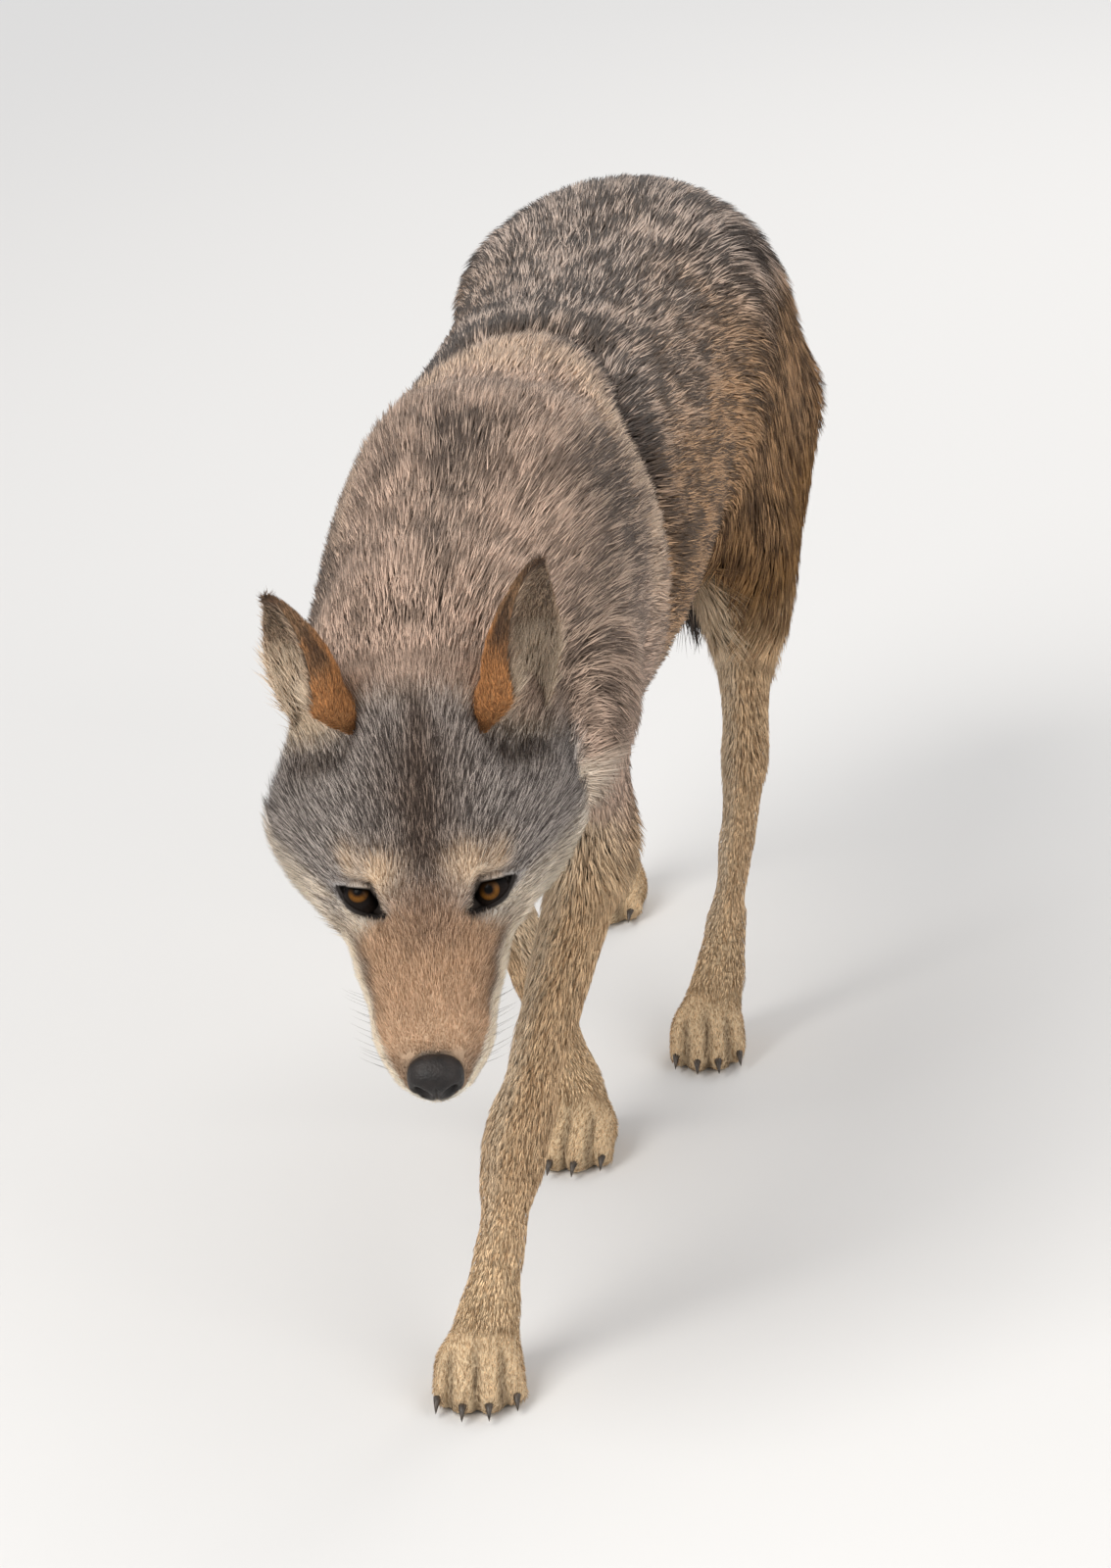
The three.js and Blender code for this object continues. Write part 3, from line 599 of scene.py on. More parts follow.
    def _head(self) -> None:
        """Lays the tones of crown, face, muzzle and eyes' rims."""
        lay, zone, wave, small = self.lay, self.zone, self.wave, self.small
        f, side, u = HEAD.halved(self.points)
        upward = (self.normals @ HEAD.basis().T)[:, 2] + 0.25 * small
        lay(zone * ramp(f + 16 * wave, -132, -98), Tones.CROWN)
        broad = zone * bell(side + 10 * small, 30) * ramp(f, -130, -60) * ramp(f, 20, -14)
        lay(broad * (u > 0) * 0.75, Tones.STRIPE)
        fine = zone * bell(side + 8 * small, 9) * ramp(f, -135, -95) * ramp(f, 10, -20)
        lay(fine * (u > 0) * 0.6, Tones.STRIPE)
        low = 0.55 * f - u - 8 * wave
        under = ramp(upward, 0.62, 0.34) * ramp(u + 10 * wave, 6, -10)
        lay(zone * under * ramp(low, -8, 16), Tones.CHEEK)
        lay(zone * ramp(upward, 0.12, -0.25) * ramp(low, 4, 30) * ramp(f, -122, -96), Tones.WHITE)
        on_top = zone * ramp(f + 12 * wave, 4, 30)
        lay(on_top * ramp(upward, 0.30, 0.52), Tones.MUZZLE)
        lay(on_top * ramp(upward, 0.40, 0.15), Tones.WHITE)
        line = bell(upward - 0.42, 0.12) * ramp(f, 4, 20) * ramp(f, 96, 60)
        lay(zone * line * 0.55, Tones.STRIPE)
        bridge = zone * bell(side, 28) * ramp(f, -6, 10) * ramp(f + 10 * wave, 62, 28)
        lay(bridge * (u > -32) * 0.8, Tones.BRIDGE)
        lay(zone * ramp(f + 6 * small, 98, 114) * ramp(upward, 0.2, 0.5) * 0.45, Tones.STRIPE)
        for where, wide, tone, strength in self.FACE_MARKS:
            gap = gap_from((f, side, u), where, wide)
            lay(zone * bell(gap + 0.5 * small, 1.0) * strength, tone)
        for eye in EYES:
            gap, rise, planar = eye.gap(self.points)
            edge = np.where(rise > 0, ramp(gap, 1.8, 0.5), ramp(gap, 5.0, 3.0))
            lay(zone * edge * ramp(planar, 20, 16) * 0.85, Tones.EYE_RIM)
            lay(zone * bell(gap - 5.5, 1.6) * (planar < 24) * (rise > 0) * 0.5, Tones.STRIPE)


# -------- eyes' places


@dataclass(frozen=True)
class EyeSite:
    """Where an eye sits, and the way its opening and its gaze point.

    look is where the gaze leaves the opening: outwards along the slit, and up. outer and inner reach from
    the slit's middle to its corners, upper and lower are the lids' heights, peak is where the upper is
    highest, and drop is how far the slit lies under the ball's middle. shade is how much light the painted
    shade under the upper lid leaves, and lit is where that painted shade starts and ends. middle, facing
    and along are for the left eye.
    """

    side: float
    look: tuple[float, float]
    radius: float = 12.2
    bulge: float = 0.9
    outer: float = 15.5
    inner: float = 19.0
    upper: float = 11.0
    lower: float = 4.3
    peak: float = -4.0
    drop: float = 2.0
    shade: float = 0.08
    lit: tuple[float, float] = (0.5, 7.5)
    middle: Triple = (-2.05, 42.3, -4.8)
    facing: Triple = (0.50, 0.26, 0.83)
    along: Triple = (-0.60, 0.79, 0.127)

    def _own(self, flu: Triple) -> Triple:
        """A place or way on the left, as it is on this eye's side."""
        f, left, u = flu
        return f, left * self.side, u

    def centre(self) -> Array:
        """Middle of the ball."""
        return HEAD.world(self._own(self.middle))

    def out(self) -> Array:
        """The way the opening faces."""
        return unit(HEAD.along(self._own(self.facing)))

    def slit(self) -> Array:
        """The way from the inner to the outer corner of the eye.

        Returns:
            A direction in the wolf's axes.
        """
        raw = HEAD.along(self._own(self.along))
        out = self.out()
        return unit(raw - out * (raw @ out))

    def lid(self) -> Array:
        """The way from the lower to the upper lid."""
        return np.cross(self.slit(), self.out()) * -self.side

    def gaze(self) -> Array:
        """The way the eye looks.

        Returns:
            A direction in the wolf's axes.
        """
        run, rise = self.look
        ahead = math.sqrt(self.radius**2 - run**2 - rise**2)
        return unit(self.out() * ahead + self.slit() * run + self.lid() * rise)

    def upper_arc(self, run: Array) -> Array:
        """Height of the upper lid's edge over the slit."""
        long = np.where(run > self.peak, self.outer - self.peak, self.inner + self.peak)
        return self.upper * np.clip(1 - (np.abs(run - self.peak) / long) ** 1.3, 0, 1)

    def gap(self, points: Array) -> tuple[Array, Array, Array]:
        """How far places lie from the edge of the opening.

        Args:
            points: Places.

        Returns:
            The gap, less than 0 inside the opening; the height over the slit; the distance from the axis.
        """
        q = points - self.centre()
        run, rise = q @ self.slit(), q @ self.lid()
        planar = np.hypot(run, rise)
        rise = rise + self.drop
        long = np.where(run < 0, self.inner, self.outer)
        t = np.abs(run) / long
        lower = self.lower * np.clip(1 - t**2, 0, 1) ** 0.85
        arc = np.where(rise > 0, self.upper_arc(run), lower)
        gap = np.where(t < 1, np.abs(rise) - arc, np.hypot(rise, (t - 1) * long))
        return gap, rise, planar

    def under_lid(self, points: Array) -> Array:
        """How far under the upper lid's edge places lie."""
        q = points - self.centre()
        return self.upper_arc(q @ self.slit()) - self.drop - q @ self.lid()


EYES = (EyeSite(LEFT, (-3.0, 3.25)), EyeSite(RIGHT, (2.0, 4.75)))


def eye_gap(points: Array) -> Array:
    """How far places lie from the nearer eye's opening.

    Args:
        points: Places.

    Returns:
        A distance for each.
    """
    gaps = []
    for eye in EYES:
        away = np.linalg.norm(points - eye.centre(), axis=1) - eye.radius - 3
        gaps.append(np.maximum(eye.gap(points)[0], away))
    return np.minimum(*gaps)


# -------- mesh helpers


def deselect() -> None:
    """Leaves nothing selected."""
    for obj in bpy.context.scene.objects:
        obj.select_set(False)
    bpy.context.view_layer.objects.active = None


def select(objects: Sequence[Object]) -> None:
    """Selects some objects alone, the first of them as the active one."""
    deselect()
    for obj in objects:
        obj.select_set(True)
    bpy.context.view_layer.objects.active = objects[0]


def join(parts: Sequence[Object]) -> Object:
    """Joins objects into the first of them.

    Args:
        parts: The objects.

    Returns:
        The first.
    """
    select(parts)
    bpy.ops.object.join()
    return parts[0]


def shade_smooth(mesh: bpy.types.Mesh) -> None:
    """Has all faces of a mesh shaded smoothly."""
    mesh.polygons.foreach_set("use_smooth", np.ones(len(mesh.polygons), dtype=bool))


def nearest(targets: Array, places: Array) -> Array:
    """The nearest of some targets to each place.

    Args:
        targets: The targets, one in each row.
        places: The places, one in each row.

    Returns:
        A target's number for each place.
    """
    tree = kdtree.KDTree(len(targets))
    for i, target in enumerate(targets):
        tree.insert(target, i)
    tree.balance()
    return np.array([tree.find(place)[1] for place in places], dtype=int)


@contextmanager
def editing(obj: Object) -> Iterator[bmesh.types.BMesh]:
    """Opens a mesh for editing, and puts it back when the edit is over.

    Args:
        obj: The mesh object.

    Yields:
        Its editable mesh.
    """
    bm = bmesh.new()
    bm.from_mesh(obj.data)
    yield bm
    bm.to_mesh(obj.data)
    bm.free()


def read(items: bpy.types.bpy_prop_collection, key: str, wide: int, kind: type = float) -> Array:
    """One value of each item of a mesh.

    Args:
        items: The mesh's points, edges, triangles or the like.
        key: The value's name.
        wide: How many numbers it has.
        kind: Their kind.

    Returns:
        A row for each item.
    """
    raw = np.empty(len(items) * wide, dtype=kind)
    items.foreach_get(key, raw)
    return raw.reshape(-1, wide)


def points_of(obj: Object) -> Array:
    """A mesh's points in the wolf's axes."""
    return to_wolf(read(obj.data.vertices, "co", 3))


def normals_of(obj: Object) -> Array:
    """A mesh's point normals."""
    return read(obj.data.vertex_normals, "vector", 3)


def edges_of(obj: Object) -> Array:
    """A mesh's edges, as two points for each."""
    return read(obj.data.edges, "vertices", 2, np.int64)


def set_points(obj: Object, points: Array) -> None:
    """Moves a mesh's points."""
    obj.data.vertices.foreach_set("co", to_model(points).ravel())
    obj.data.update()


def mesh_from(name: str, points: Array, triangles: Array) -> Object:
    """A mesh object from arrays.

    Args:
        name: Its name.
        points: Places.
        triangles: Three points for each.

    Returns:
        The object.
    """
    mesh = bpy.data.meshes.new(name)
    mesh.vertices.add(len(points))
    mesh.vertices.foreach_set("co", to_model(points).ravel())
    mesh.loops.add(triangles.size)
    mesh.loops.foreach_set("vertex_index", triangles.ravel().astype(np.int32))
    mesh.polygons.add(len(triangles))
    mesh.polygons.foreach_set("loop_start", np.arange(0, triangles.size, 3, dtype=np.int32))
    shade_smooth(mesh)
    mesh.update(calc_edges=True)
    obj = bpy.data.objects.new(name, mesh)
    bpy.context.scene.collection.objects.link(obj)
    return obj


def paint(obj: Object, colours: Array) -> None:
    """Gives each point of a mesh its own colour, in the attribute named coat.

    Args:
        obj: The mesh object.
        colours: Linear colours.
    """
    layer = obj.data.color_attributes.new("coat", "FLOAT_COLOR", "POINT")
    rgba = np.ones((len(colours), 4), dtype=np.float32)
    rgba[:, :3] = colours
    layer.data.foreach_set("color", rgba.ravel())


def smooth(points: Array, edges: Array, rounds: int, share: float = 0.5,
           held: Array | None = None) -> Array:
    """Evens a mesh out.

    Args:
        points: Its points.
        edges: Its edges.
        rounds: How many times.
        share: How far each point goes towards the middle of its neighbours.
        held: Where it is 1 a point stays.

    Returns:
        The new points.
    """
    count = np.bincount(edges.ravel(), minlength=len(points)).astype(float)
    count[count == 0] = 1
    move = share * (np.ones(len(points)) if held is None else 1 - held)
    for _ in range(rounds):
        mean = np.empty_like(points)
        for axis in range(3):
            mean[:, axis] = np.bincount(edges[:, 0], points[edges[:, 1], axis], len(points))
            mean[:, axis] += np.bincount(edges[:, 1], points[edges[:, 0], axis], len(points))
        points = points + (mean / count[:, None] - points) * move[:, None]
    return points


def refine(obj: Object, chosen: Callable[[Array], Array]) -> None:
    """Halves the edges of the faces whose middles are chosen.

    Args:
        obj: The mesh object.
        chosen: Says for each place, in the wolf's axes, whether its face is halved.
    """
    with editing(obj) as bm:
        middles = to_wolf(np.array([tuple(face.calc_center_median()) for face in bm.faces]))
        picked = chosen(middles)
        edges = {edge for face, yes in zip(bm.faces, picked) if yes for edge in face.edges}
        bmesh.ops.subdivide_edges(bm, edges=list(edges), cuts=1, use_grid_fill=True)
        bmesh.ops.triangulate(bm, faces=[face for face in bm.faces if len(face.verts) > 4])


# -------- skin


@dataclass(frozen=True)
class LidSizes:
    """How far over a ball the lids' edges and their skin lie, and how far under its front the opening.

    back is how far back they reach, and each slope is how fast that falls off beside the ball.
    """

    rise: float = 1.3
    upper: float = 1.9
    cover: float = 1.0
    sunk: float = 3.0
    fade: float = 11.0
    back: float = -14.0
    equator: float = 0.985
    lid_slope: float = 0.25
    cover_slope: float = 0.7
    sunk_slope: float = 0.4


@dataclass(frozen=True)
class SkinSizes:
    cell: float = 7.4
    coarse: float = 1.5
    rounds: int = 7
    weld: float = 0.01
    lowest: float = 0.6
    brow: float = 2.2
    bridge: float = 1.0
    jowl: float = 4.0
    mouth_deep: float = 2.6
    mouth_wide: float = 2.0
    toe_deep: float = 5.5
    toe_wide: float = 2.8
    shoulder: float = 4.0
    fold: float = 7.5
    lids: LidSizes = LidSizes()


class Skin:
    """One skin over the whole wolf, inside the solids by the depth of the coat."""

    REPLACED = (
        "head", "lower_jaw", "ear_left", "ear_right", "neck", "trunk", "tail",
        "foreleg_left", "foreleg_right", "forepaw_left", "forepaw_right",
        "hindleg_left", "hindleg_right", "hindfoot_left", "hindfoot_right",
    )
    BALLS = ("eye_left", "eye_right")

    def __init__(self, sizes: SkinSizes) -> None:
        """Keeps the sizes."""
        self.sizes = sizes

    def build(self) -> Object:
        """Makes the skin from copies of the solids.

        Returns:
            Its object.
        """
        obj = self._joined()
        self._remesh(obj)
        edges = edges_of(obj)
        points = points_of(obj)
        points = smooth(points, edges, self.sizes.rounds, held=0.85 * ramp(points[:, 2], 85, 50))
        set_points(obj, points)
        points = points - normals_of(obj) * (self._depth(points) - self._relief(points))[:, None]
        points = smooth(points, edges, 4, 0.4, 0.7 * ramp(points[:, 2], 85, 50))
        points[:, 2] = np.maximum(points[:, 2], self.sizes.lowest)
        set_points(obj, points)
        refine(obj, lambda p: head_zone(p) > 0)
        refine(obj, lambda p: ((HEAD.local(p)[:, 0] > -32) & (head_zone(p) > 0)) | (p[:, 2] < 60))
        for _ in range(2):
            refine(obj, self._near_eyes)
        set_points(obj, smooth(points_of(obj), edges_of(obj), 2, 0.4))
        self._sculpt(obj)
        return obj

    def _joined(self) -> Object:
        """Copies of the flesh in one object, with the eyeballs to fill their sockets.

        Returns:
            That object.
        """
        flesh = [name for name in self.REPLACED if not name.startswith("ear")]
        copies = []
        for name in (*flesh, *self.BALLS):
            copy = frame["nodes"][name].copy()
            copy.data = copy.data.copy()
            copy.parent = None
            copy.matrix_world = Matrix.Identity(4)
            for key in list(copy.keys()):
                del copy[key]
            bpy.context.scene.collection.objects.link(copy)
            copies.append(copy)
        obj = join(copies)
        obj.name = obj.data.name = "skin"
        obj.data.materials.clear()
        with editing(obj) as bm:
            bmesh.ops.remove_doubles(bm, verts=bm.verts, dist=self.sizes.weld * MM)
        return obj

    def _remesh(self, obj: Object) -> None:
        """Makes the copies one closed skin.

        Args:
            obj: The joined copies.
        """
        select([obj])
        modifier = obj.modifiers.new("one_skin", "REMESH")
        modifier.mode = "VOXEL"
        modifier.voxel_size = self.sizes.cell * MM * 1.0
        bpy.ops.object.modifier_apply(modifier=modifier.name)
        with editing(obj) as bm:
            islands = sorted(self._islands(bm), key=len)
            for island in islands[:-1]:
                bmesh.ops.delete(bm, geom=island, context="VERTS")
        log.info("skin: %d islands, %d points kept", len(islands), len(obj.data.vertices))

    @staticmethod
    def _islands(bm: bmesh.types.BMesh) -> list[list[bmesh.types.BMVert]]:
        """The parts of a mesh that hang together.

        Args:
            bm: The mesh.

        Returns:
            The points of each.
        """
        seen: set[int] = set()
        islands = []
        for vert in bm.verts:
            if vert.index in seen:
                continue
            seen.add(vert.index)
            island, stack = [], [vert]
            while stack:
                here = stack.pop()
                island.append(here)
                for edge in here.link_edges:
                    other = edge.other_vert(here)
                    if other.index not in seen:
                        seen.add(other.index)
                        stack.append(other)
            islands.append(island)
        return islands

    @staticmethod
    def _depth(points: Array) -> Array:
        """How far under the solids the skin lies."""
        depth = FLOW.at(points)[1][:, 0]
        return depth * ramp(points[:, 2], 1.0, 12.0)

    def _relief(self, points: Array) -> Array:
        """The fold behind the shoulders, and the shoulders' edge ahead of it.

        Args:
            points: Places.

        Returns:
            How far the skin stands out there.
        """
        behind = points[:, 1] - cape_line(points[:, 2]) + cape_fringe(points)
        high = ramp(points[:, 2], 400, 500)
        shoulder = self.sizes.shoulder * bell(behind + 34, 30)
        return high * (shoulder - self.sizes.fold * bell(behind - 12, 18))

    @staticmethod
    def _near_eyes(points: Array) -> Array:
        """Which places are close to an eye.

        Args:
            points: Places.

        Returns:
            True or false for each.
        """
        close = np.zeros(len(points), dtype=bool)
        for eye in EYES:
            front = (points - eye.centre()) @ eye.out()
            close |= (eye.gap(points)[0] < 4.5) & (np.abs(front - 8) < 16)
        return close

    def _sculpt(self, obj: Object) -> None:
        """Brows, bridge of the nose, jowls, mouth line, toes and lids.

        Args:
            obj: The skin.
        """
        points, normals, sizes = points_of(obj), normals_of(obj), self.sizes
        f, side, u = HEAD.halved(points)
        brow = bell(gap_from((f, side, u), (-8, 34, 16)), 13)
        bridge = bell(gap_from((f, side, u), (30, 0, 6), (1.8, 1, 1)), 14)
        points = points + normals * (sizes.brow * brow + sizes.bridge * bridge)[:, None]
        jowl = ramp(f, 14, 44) * ramp(f, 112, 84) * ramp(side, 8, 22) * ramp(u, 2, -12)
        points = points + normals * (sizes.jowl * jowl)[:, None]
        on_lip = bell(u - mouth_line(f), sizes.mouth_wide) * ramp(f, 22, 34) * ramp(f, 140, 128)
        below_nose = bell(side, 1.8) * ramp(f, 112, 120) * ramp(u, -34, -38) * ramp(u, -56, -50)
        groove = np.maximum(on_lip * ramp(side, 2, 8), 0.8 * below_nose)
        points = points - normals * (sizes.mouth_deep * groove)[:, None]
        for paw in PAWS:
            points = self._toes(points, paw)
        for eye in EYES:
            points = self._lids(points, eye)
        set_points(obj, points)

    def _toes(self, points: Array, paw: Paw) -> Array:
        """Grooves between the toes of a paw.

        Args:
            points: The skin's points.
            paw: Which paw.

        Returns:
            The new points.
        """
        q = paw.local(points)
        x, y, z = q.T
        near = (np.abs(x) < paw.wide * 0.62) & (y > -paw.long * 0.75) & (y < paw.long * 0.2)
        near &= z < paw.high * 1.1
        ahead = ramp(y, -0.04 * paw.long, -0.30 * paw.long)
        front = ramp(y, -0.26 * paw.long, -0.46 * paw.long)
        splay = 1 + 0.25 * ramp(y, -0.1 * paw.long, -0.5 * paw.long)
        inward = np.array([0.0, paw.long * 0.1, 0.0]) - q
        inward = unit(inward * np.array([0.15, 1.0, 1.0]))
        deep = np.zeros(len(points))
        for k in TOE_GAPS:
            off = (x - k * paw.toe * splay) / (1 + 0.5 * front)
            deep = np.maximum(deep, bell(off, self.sizes.toe_wide))
        q = q + inward * (self.sizes.toe_deep * deep * ahead * (1 + 0.7 * front) * near)[:, None]
        moved = paw.world(q)
        moved[:, 2] = np.maximum(moved[:, 2], self.sizes.lowest)
        return np.where(near[:, None], moved, points)

    def _lids(self, points: Array, eye: EyeSite) -> Array:
        """Lids around one eye, with an opening that shows the ball.

        Args:
            points: The skin's points.
            eye: Which eye.

        Returns:
            The new points.
        """
        lids, out = self.sizes.lids, eye.out()
        front = (points - eye.centre()) @ out
        gap, rise, planar = eye.gap(points)
        near = (planar < eye.inner + lids.fade + 4) & (front > lids.back)
        reach = eye.radius * lids.equator
        ball = np.sqrt(eye.radius**2 - np.minimum(planar, reach) ** 2)
        beyond = np.maximum(planar - reach, 0)
        edge = ball + lids.rise + lids.upper * ramp(rise, 0, 6) - lids.lid_slope * beyond
        opened = ball - lids.sunk - lids.sunk_slope * beyond
        target = opened + (edge - opened) * ramp(gap, -0.5, 0.5)
        to = front + (target - front) * ramp(gap, lids.fade, 1.2)
        cover = ball + lids.cover - lids.cover_slope * beyond
        to = np.where(gap > 0.5, np.maximum(to, cover), to)
        return np.where(near[:, None], points + out * (to - front)[:, None], points)


@dataclass(frozen=True)
class EarSizes:
    """An ear's sizes: lean and turn are outwards, nod is away from the crown, foot is under the skin."""

    height: float = 88.0
    lean: float = 0.25
    foot: float = 30.0
    half_wide: float = 38.0
    deep: float = 24.0
    wall: float = 2.4
    nod: float = 0.25
    turn: float = 1.3
    at: Triple = (-125.0, 70.0, 27.0)
    rows: int = 34
    columns: int = 25


class Ear:
    """A cupped ear that stands on the skin."""

    # Shares of the height, and half the width at each; then the foot's on the outer side.
    OUTLINE = (
        (-0.32, -0.1, 0.0, 0.12, 0.28, 0.45, 0.62, 0.76, 0.88, 0.95, 0.985, 1.0),
        (0.50, 0.78, 0.88, 0.97, 1.0, 0.95, 0.81, 0.64, 0.46, 0.32, 0.20, 0.10),
    )
    FOOT = ((-0.32, 0.0, 0.2, 0.4), (0.80, 0.92, 0.92, 0.0))
    # Shares of the height, and how many degrees round the back the two edges lie there.
    LEVELS = (0.0, 0.15, 0.4, 0.7, 1.0)
    ROUND_INNER = (124, 120, 106, 88, 64)
    ROUND_OUTER = (108, 102, 92, 78, 60)
    # How far the tip curls forward, and how far the foot is tucked back below a share of the height.
    CURL = 5.0
    TUCK = 62.0
    TUCK_UNDER = 0.14

    def __init__(self, side: float, sizes: EarSizes) -> None:
        """Works out the ear's axes.

        Args:
            side: LEFT or RIGHT.
            sizes: Its sizes.
        """
        self.side, self.sizes = side, sizes
        left = HEAD.along((0, 1, 0))
        self.up = unit(np.array([0, 0, 1.0]) + left * sizes.lean * side + HEAD.along((0, 0, 1)) * sizes.nod)
        opening = HEAD.along((1, 0, 0)) + left * sizes.turn * side
        self.open = unit(opening - self.up * (opening @ self.up))
        self.across = np.cross(self.open, self.up)
        f, aside, u = sizes.at
        self.root = HEAD.world((f, aside * side, u))

    def owns(self, points: Array) -> Array:
        """Which places are on this ear's side of the head."""
        return np.sign(HEAD.local(points)[:, 1]) == self.side

    def sheet(self) -> Array:
        """The ear's outer surface, as a grid of points.

        Returns:
            The points in the wolf's axes, column after column in each row.
        """
        sizes = self.sizes
        heights = np.linspace(-sizes.foot / sizes.height, 1.0, sizes.rows)
        turns = np.linspace(-1.0, 1.0, sizes.columns)
        t, s = np.meshgrid(heights, turns, indexing="ij")
        inner_side = ramp(s * self.side, -0.5, 0.4)
        foot = np.interp(t, *self.FOOT) * (1 - inner_side)
        wide = np.maximum(np.interp(t, *self.OUTLINE), foot) * sizes.half_wide
        inner = np.interp(t, self.LEVELS, self.ROUND_INNER)
        outer = np.interp(t, self.LEVELS, self.ROUND_OUTER)
        angle = s * np.radians(np.where(s * self.side > 0, inner, outer))
        deep = wide * sizes.deep / sizes.half_wide
        sideways = wide * np.sin(angle) * (1 + 0.06 * np.abs(s) ** 3)
        back = -deep * np.cos(angle)
        curl = self.CURL * np.clip(t, 0, 1) ** 2
        curl = curl - self.TUCK * np.clip(self.TUCK_UNDER - t, 0, 1) * (0.15 + 0.85 * inner_side)
        height = t * sizes.height
        points = (self.root + sideways[..., None] * self.across + (back + curl)[..., None] * self.open
                  + height[..., None] * self.up)
        return points.reshape(-1, 3)

    def build(self) -> Object:
        """Makes the ear as a thin closed shell: first its outer points, then as many in the cup.

        Returns:
            Its object.
        """
        points = self.sheet()
        rows, columns = self.sizes.rows, self.sizes.columns
        faces = []
        for i in range(rows - 1):
            for j in range(columns - 1):
                a = i * columns + j
                faces += [(a, a + 1, a + columns + 1), (a, a + columns + 1, a + columns)]
        obj = mesh_from("ear", points, np.array(faces))
        middle = (rows // 2) * columns + columns // 2
        inside = self.root + self.up * (self.sizes.height / 2)
        if normals_of(obj)[middle] @ (points[middle] - inside) < 0:
            obj.data.flip_normals()
        select([obj])
        wall = obj.modifiers.new("wall", "SOLIDIFY")
        wall.thickness, wall.offset = self.sizes.wall * MM, -1.0
        bpy.ops.object.modifier_apply(modifier=wall.name)
        return obj


# -------- coat


@dataclass
class Roots:
    """Where tufts grow: places, the skin's way out, places on its unwrap, and 1 in an ear's cup."""

    at: Array
    out: Array
    uv: Array
    cup: Array

    def pick(self, chosen: Array) -> "Roots":
        """Some of the roots."""
        return Roots(self.at[chosen], self.out[chosen], self.uv[chosen], self.cup[chosen])


class Bed:
    """The skin as triangles, from which tufts' roots are drawn."""

    # How far an ear's triangle may lie under the skin and still grow fur, in millimetres.
    SUNK_EAR = 1.0

    def __init__(self, obj: Object, cup: Array, is_ear: Array) -> None:
        """Reads the skin.

        Args:
            obj: The unwrapped skin.
            cup: For each of its points, 1 in the cup of an ear.
            is_ear: For each, whether it is an ear's.
        """
        obj.data.calc_loop_triangles()
        corners = read(obj.data.loop_triangles, "vertices", 3, np.int32)
        loops = read(obj.data.loop_triangles, "loops", 3, np.int32)
        self.points, self.normals = points_of(obj)[corners], normals_of(obj)[corners]
        self.uv = read(obj.data.uv_layers["OFBake"].data, "uv", 2, np.float32)[loops]
        cross = np.cross(self.points[:, 1] - self.points[:, 0], self.points[:, 2] - self.points[:, 0])
        self.area = np.linalg.norm(cross, axis=1) / 2
        self.facing = unit(cross)
        self.middle = self.points.mean(axis=1)
        self.is_ear = is_ear[corners][:, 0]
        self.cup = cup[corners].mean(axis=1).round()

    def ears_out(self) -> Array:
        """Which triangles are the ears' and lie outside the rest of the skin.

        Returns:
            True or false for each.
        """
        body, own = np.flatnonzero(~self.is_ear)[::2], np.flatnonzero(self.is_ear)
        near = body[nearest(self.middle[body], self.middle[own])]
        away = ((self.middle[own] - self.middle[near]) * self.facing[near]).sum(axis=1)
        out = self.is_ear.copy()
        out[own] = away > -self.SUNK_EAR
        return out

    def draw(self, per_cm2: Array, rng: Rng) -> Roots:
        """Draws roots at random.

        Args:
            per_cm2: Tufts on a square centimetre of each triangle.
            rng: Seeded random numbers.

        Returns:
            The roots.
        """
        wanted = per_cm2 * self.area / MM2_IN_CM2
        counts = np.floor(wanted + rng.random(len(wanted))).astype(int)
        face = np.repeat(np.arange(len(counts)), counts)
        a, b = rng.random(len(face)), rng.random(len(face))
        over = a + b > 1
        a[over], b[over] = 1 - a[over], 1 - b[over]
        w = np.stack([1 - a - b, a, b], axis=1)[:, :, None]
        return Roots((self.points[face] * w).sum(axis=1), unit((self.normals[face] * w).sum(axis=1)),
                     (self.uv[face] * w).sum(axis=1), self.cup[face])


@dataclass
class Tufts:
    """A set of tufts: how each lies, its sizes, its colours from root to tip, and its turn about itself."""

    roots: Roots
    way: Array
    length: Array
    lift: Array
    wide: Array
    low: Array
    middle: Array
    tip: Array
    roll: Array

    def section(self) -> tuple[Array, Array]:
        """How the tufts' sections lie.

        Returns:
            Half the width of each, as a way across it, and the way its ridge points.
        """
        side = unit(np.cross(self.way, self.roots.out))
        turned = side * np.cos(self.roll)[:, None] + self.roots.out * np.sin(self.roll)[:, None]
        return turned * (self.wide / 2)[:, None], unit(np.cross(turned, self.way))

    def along(self, run: float, rise: float) -> Array:
        """How far a point of each tuft lies from the skin over its root."""
        return self.way * (run * self.length)[:, None] + self.roots.out * (rise * self.lift)[:, None]


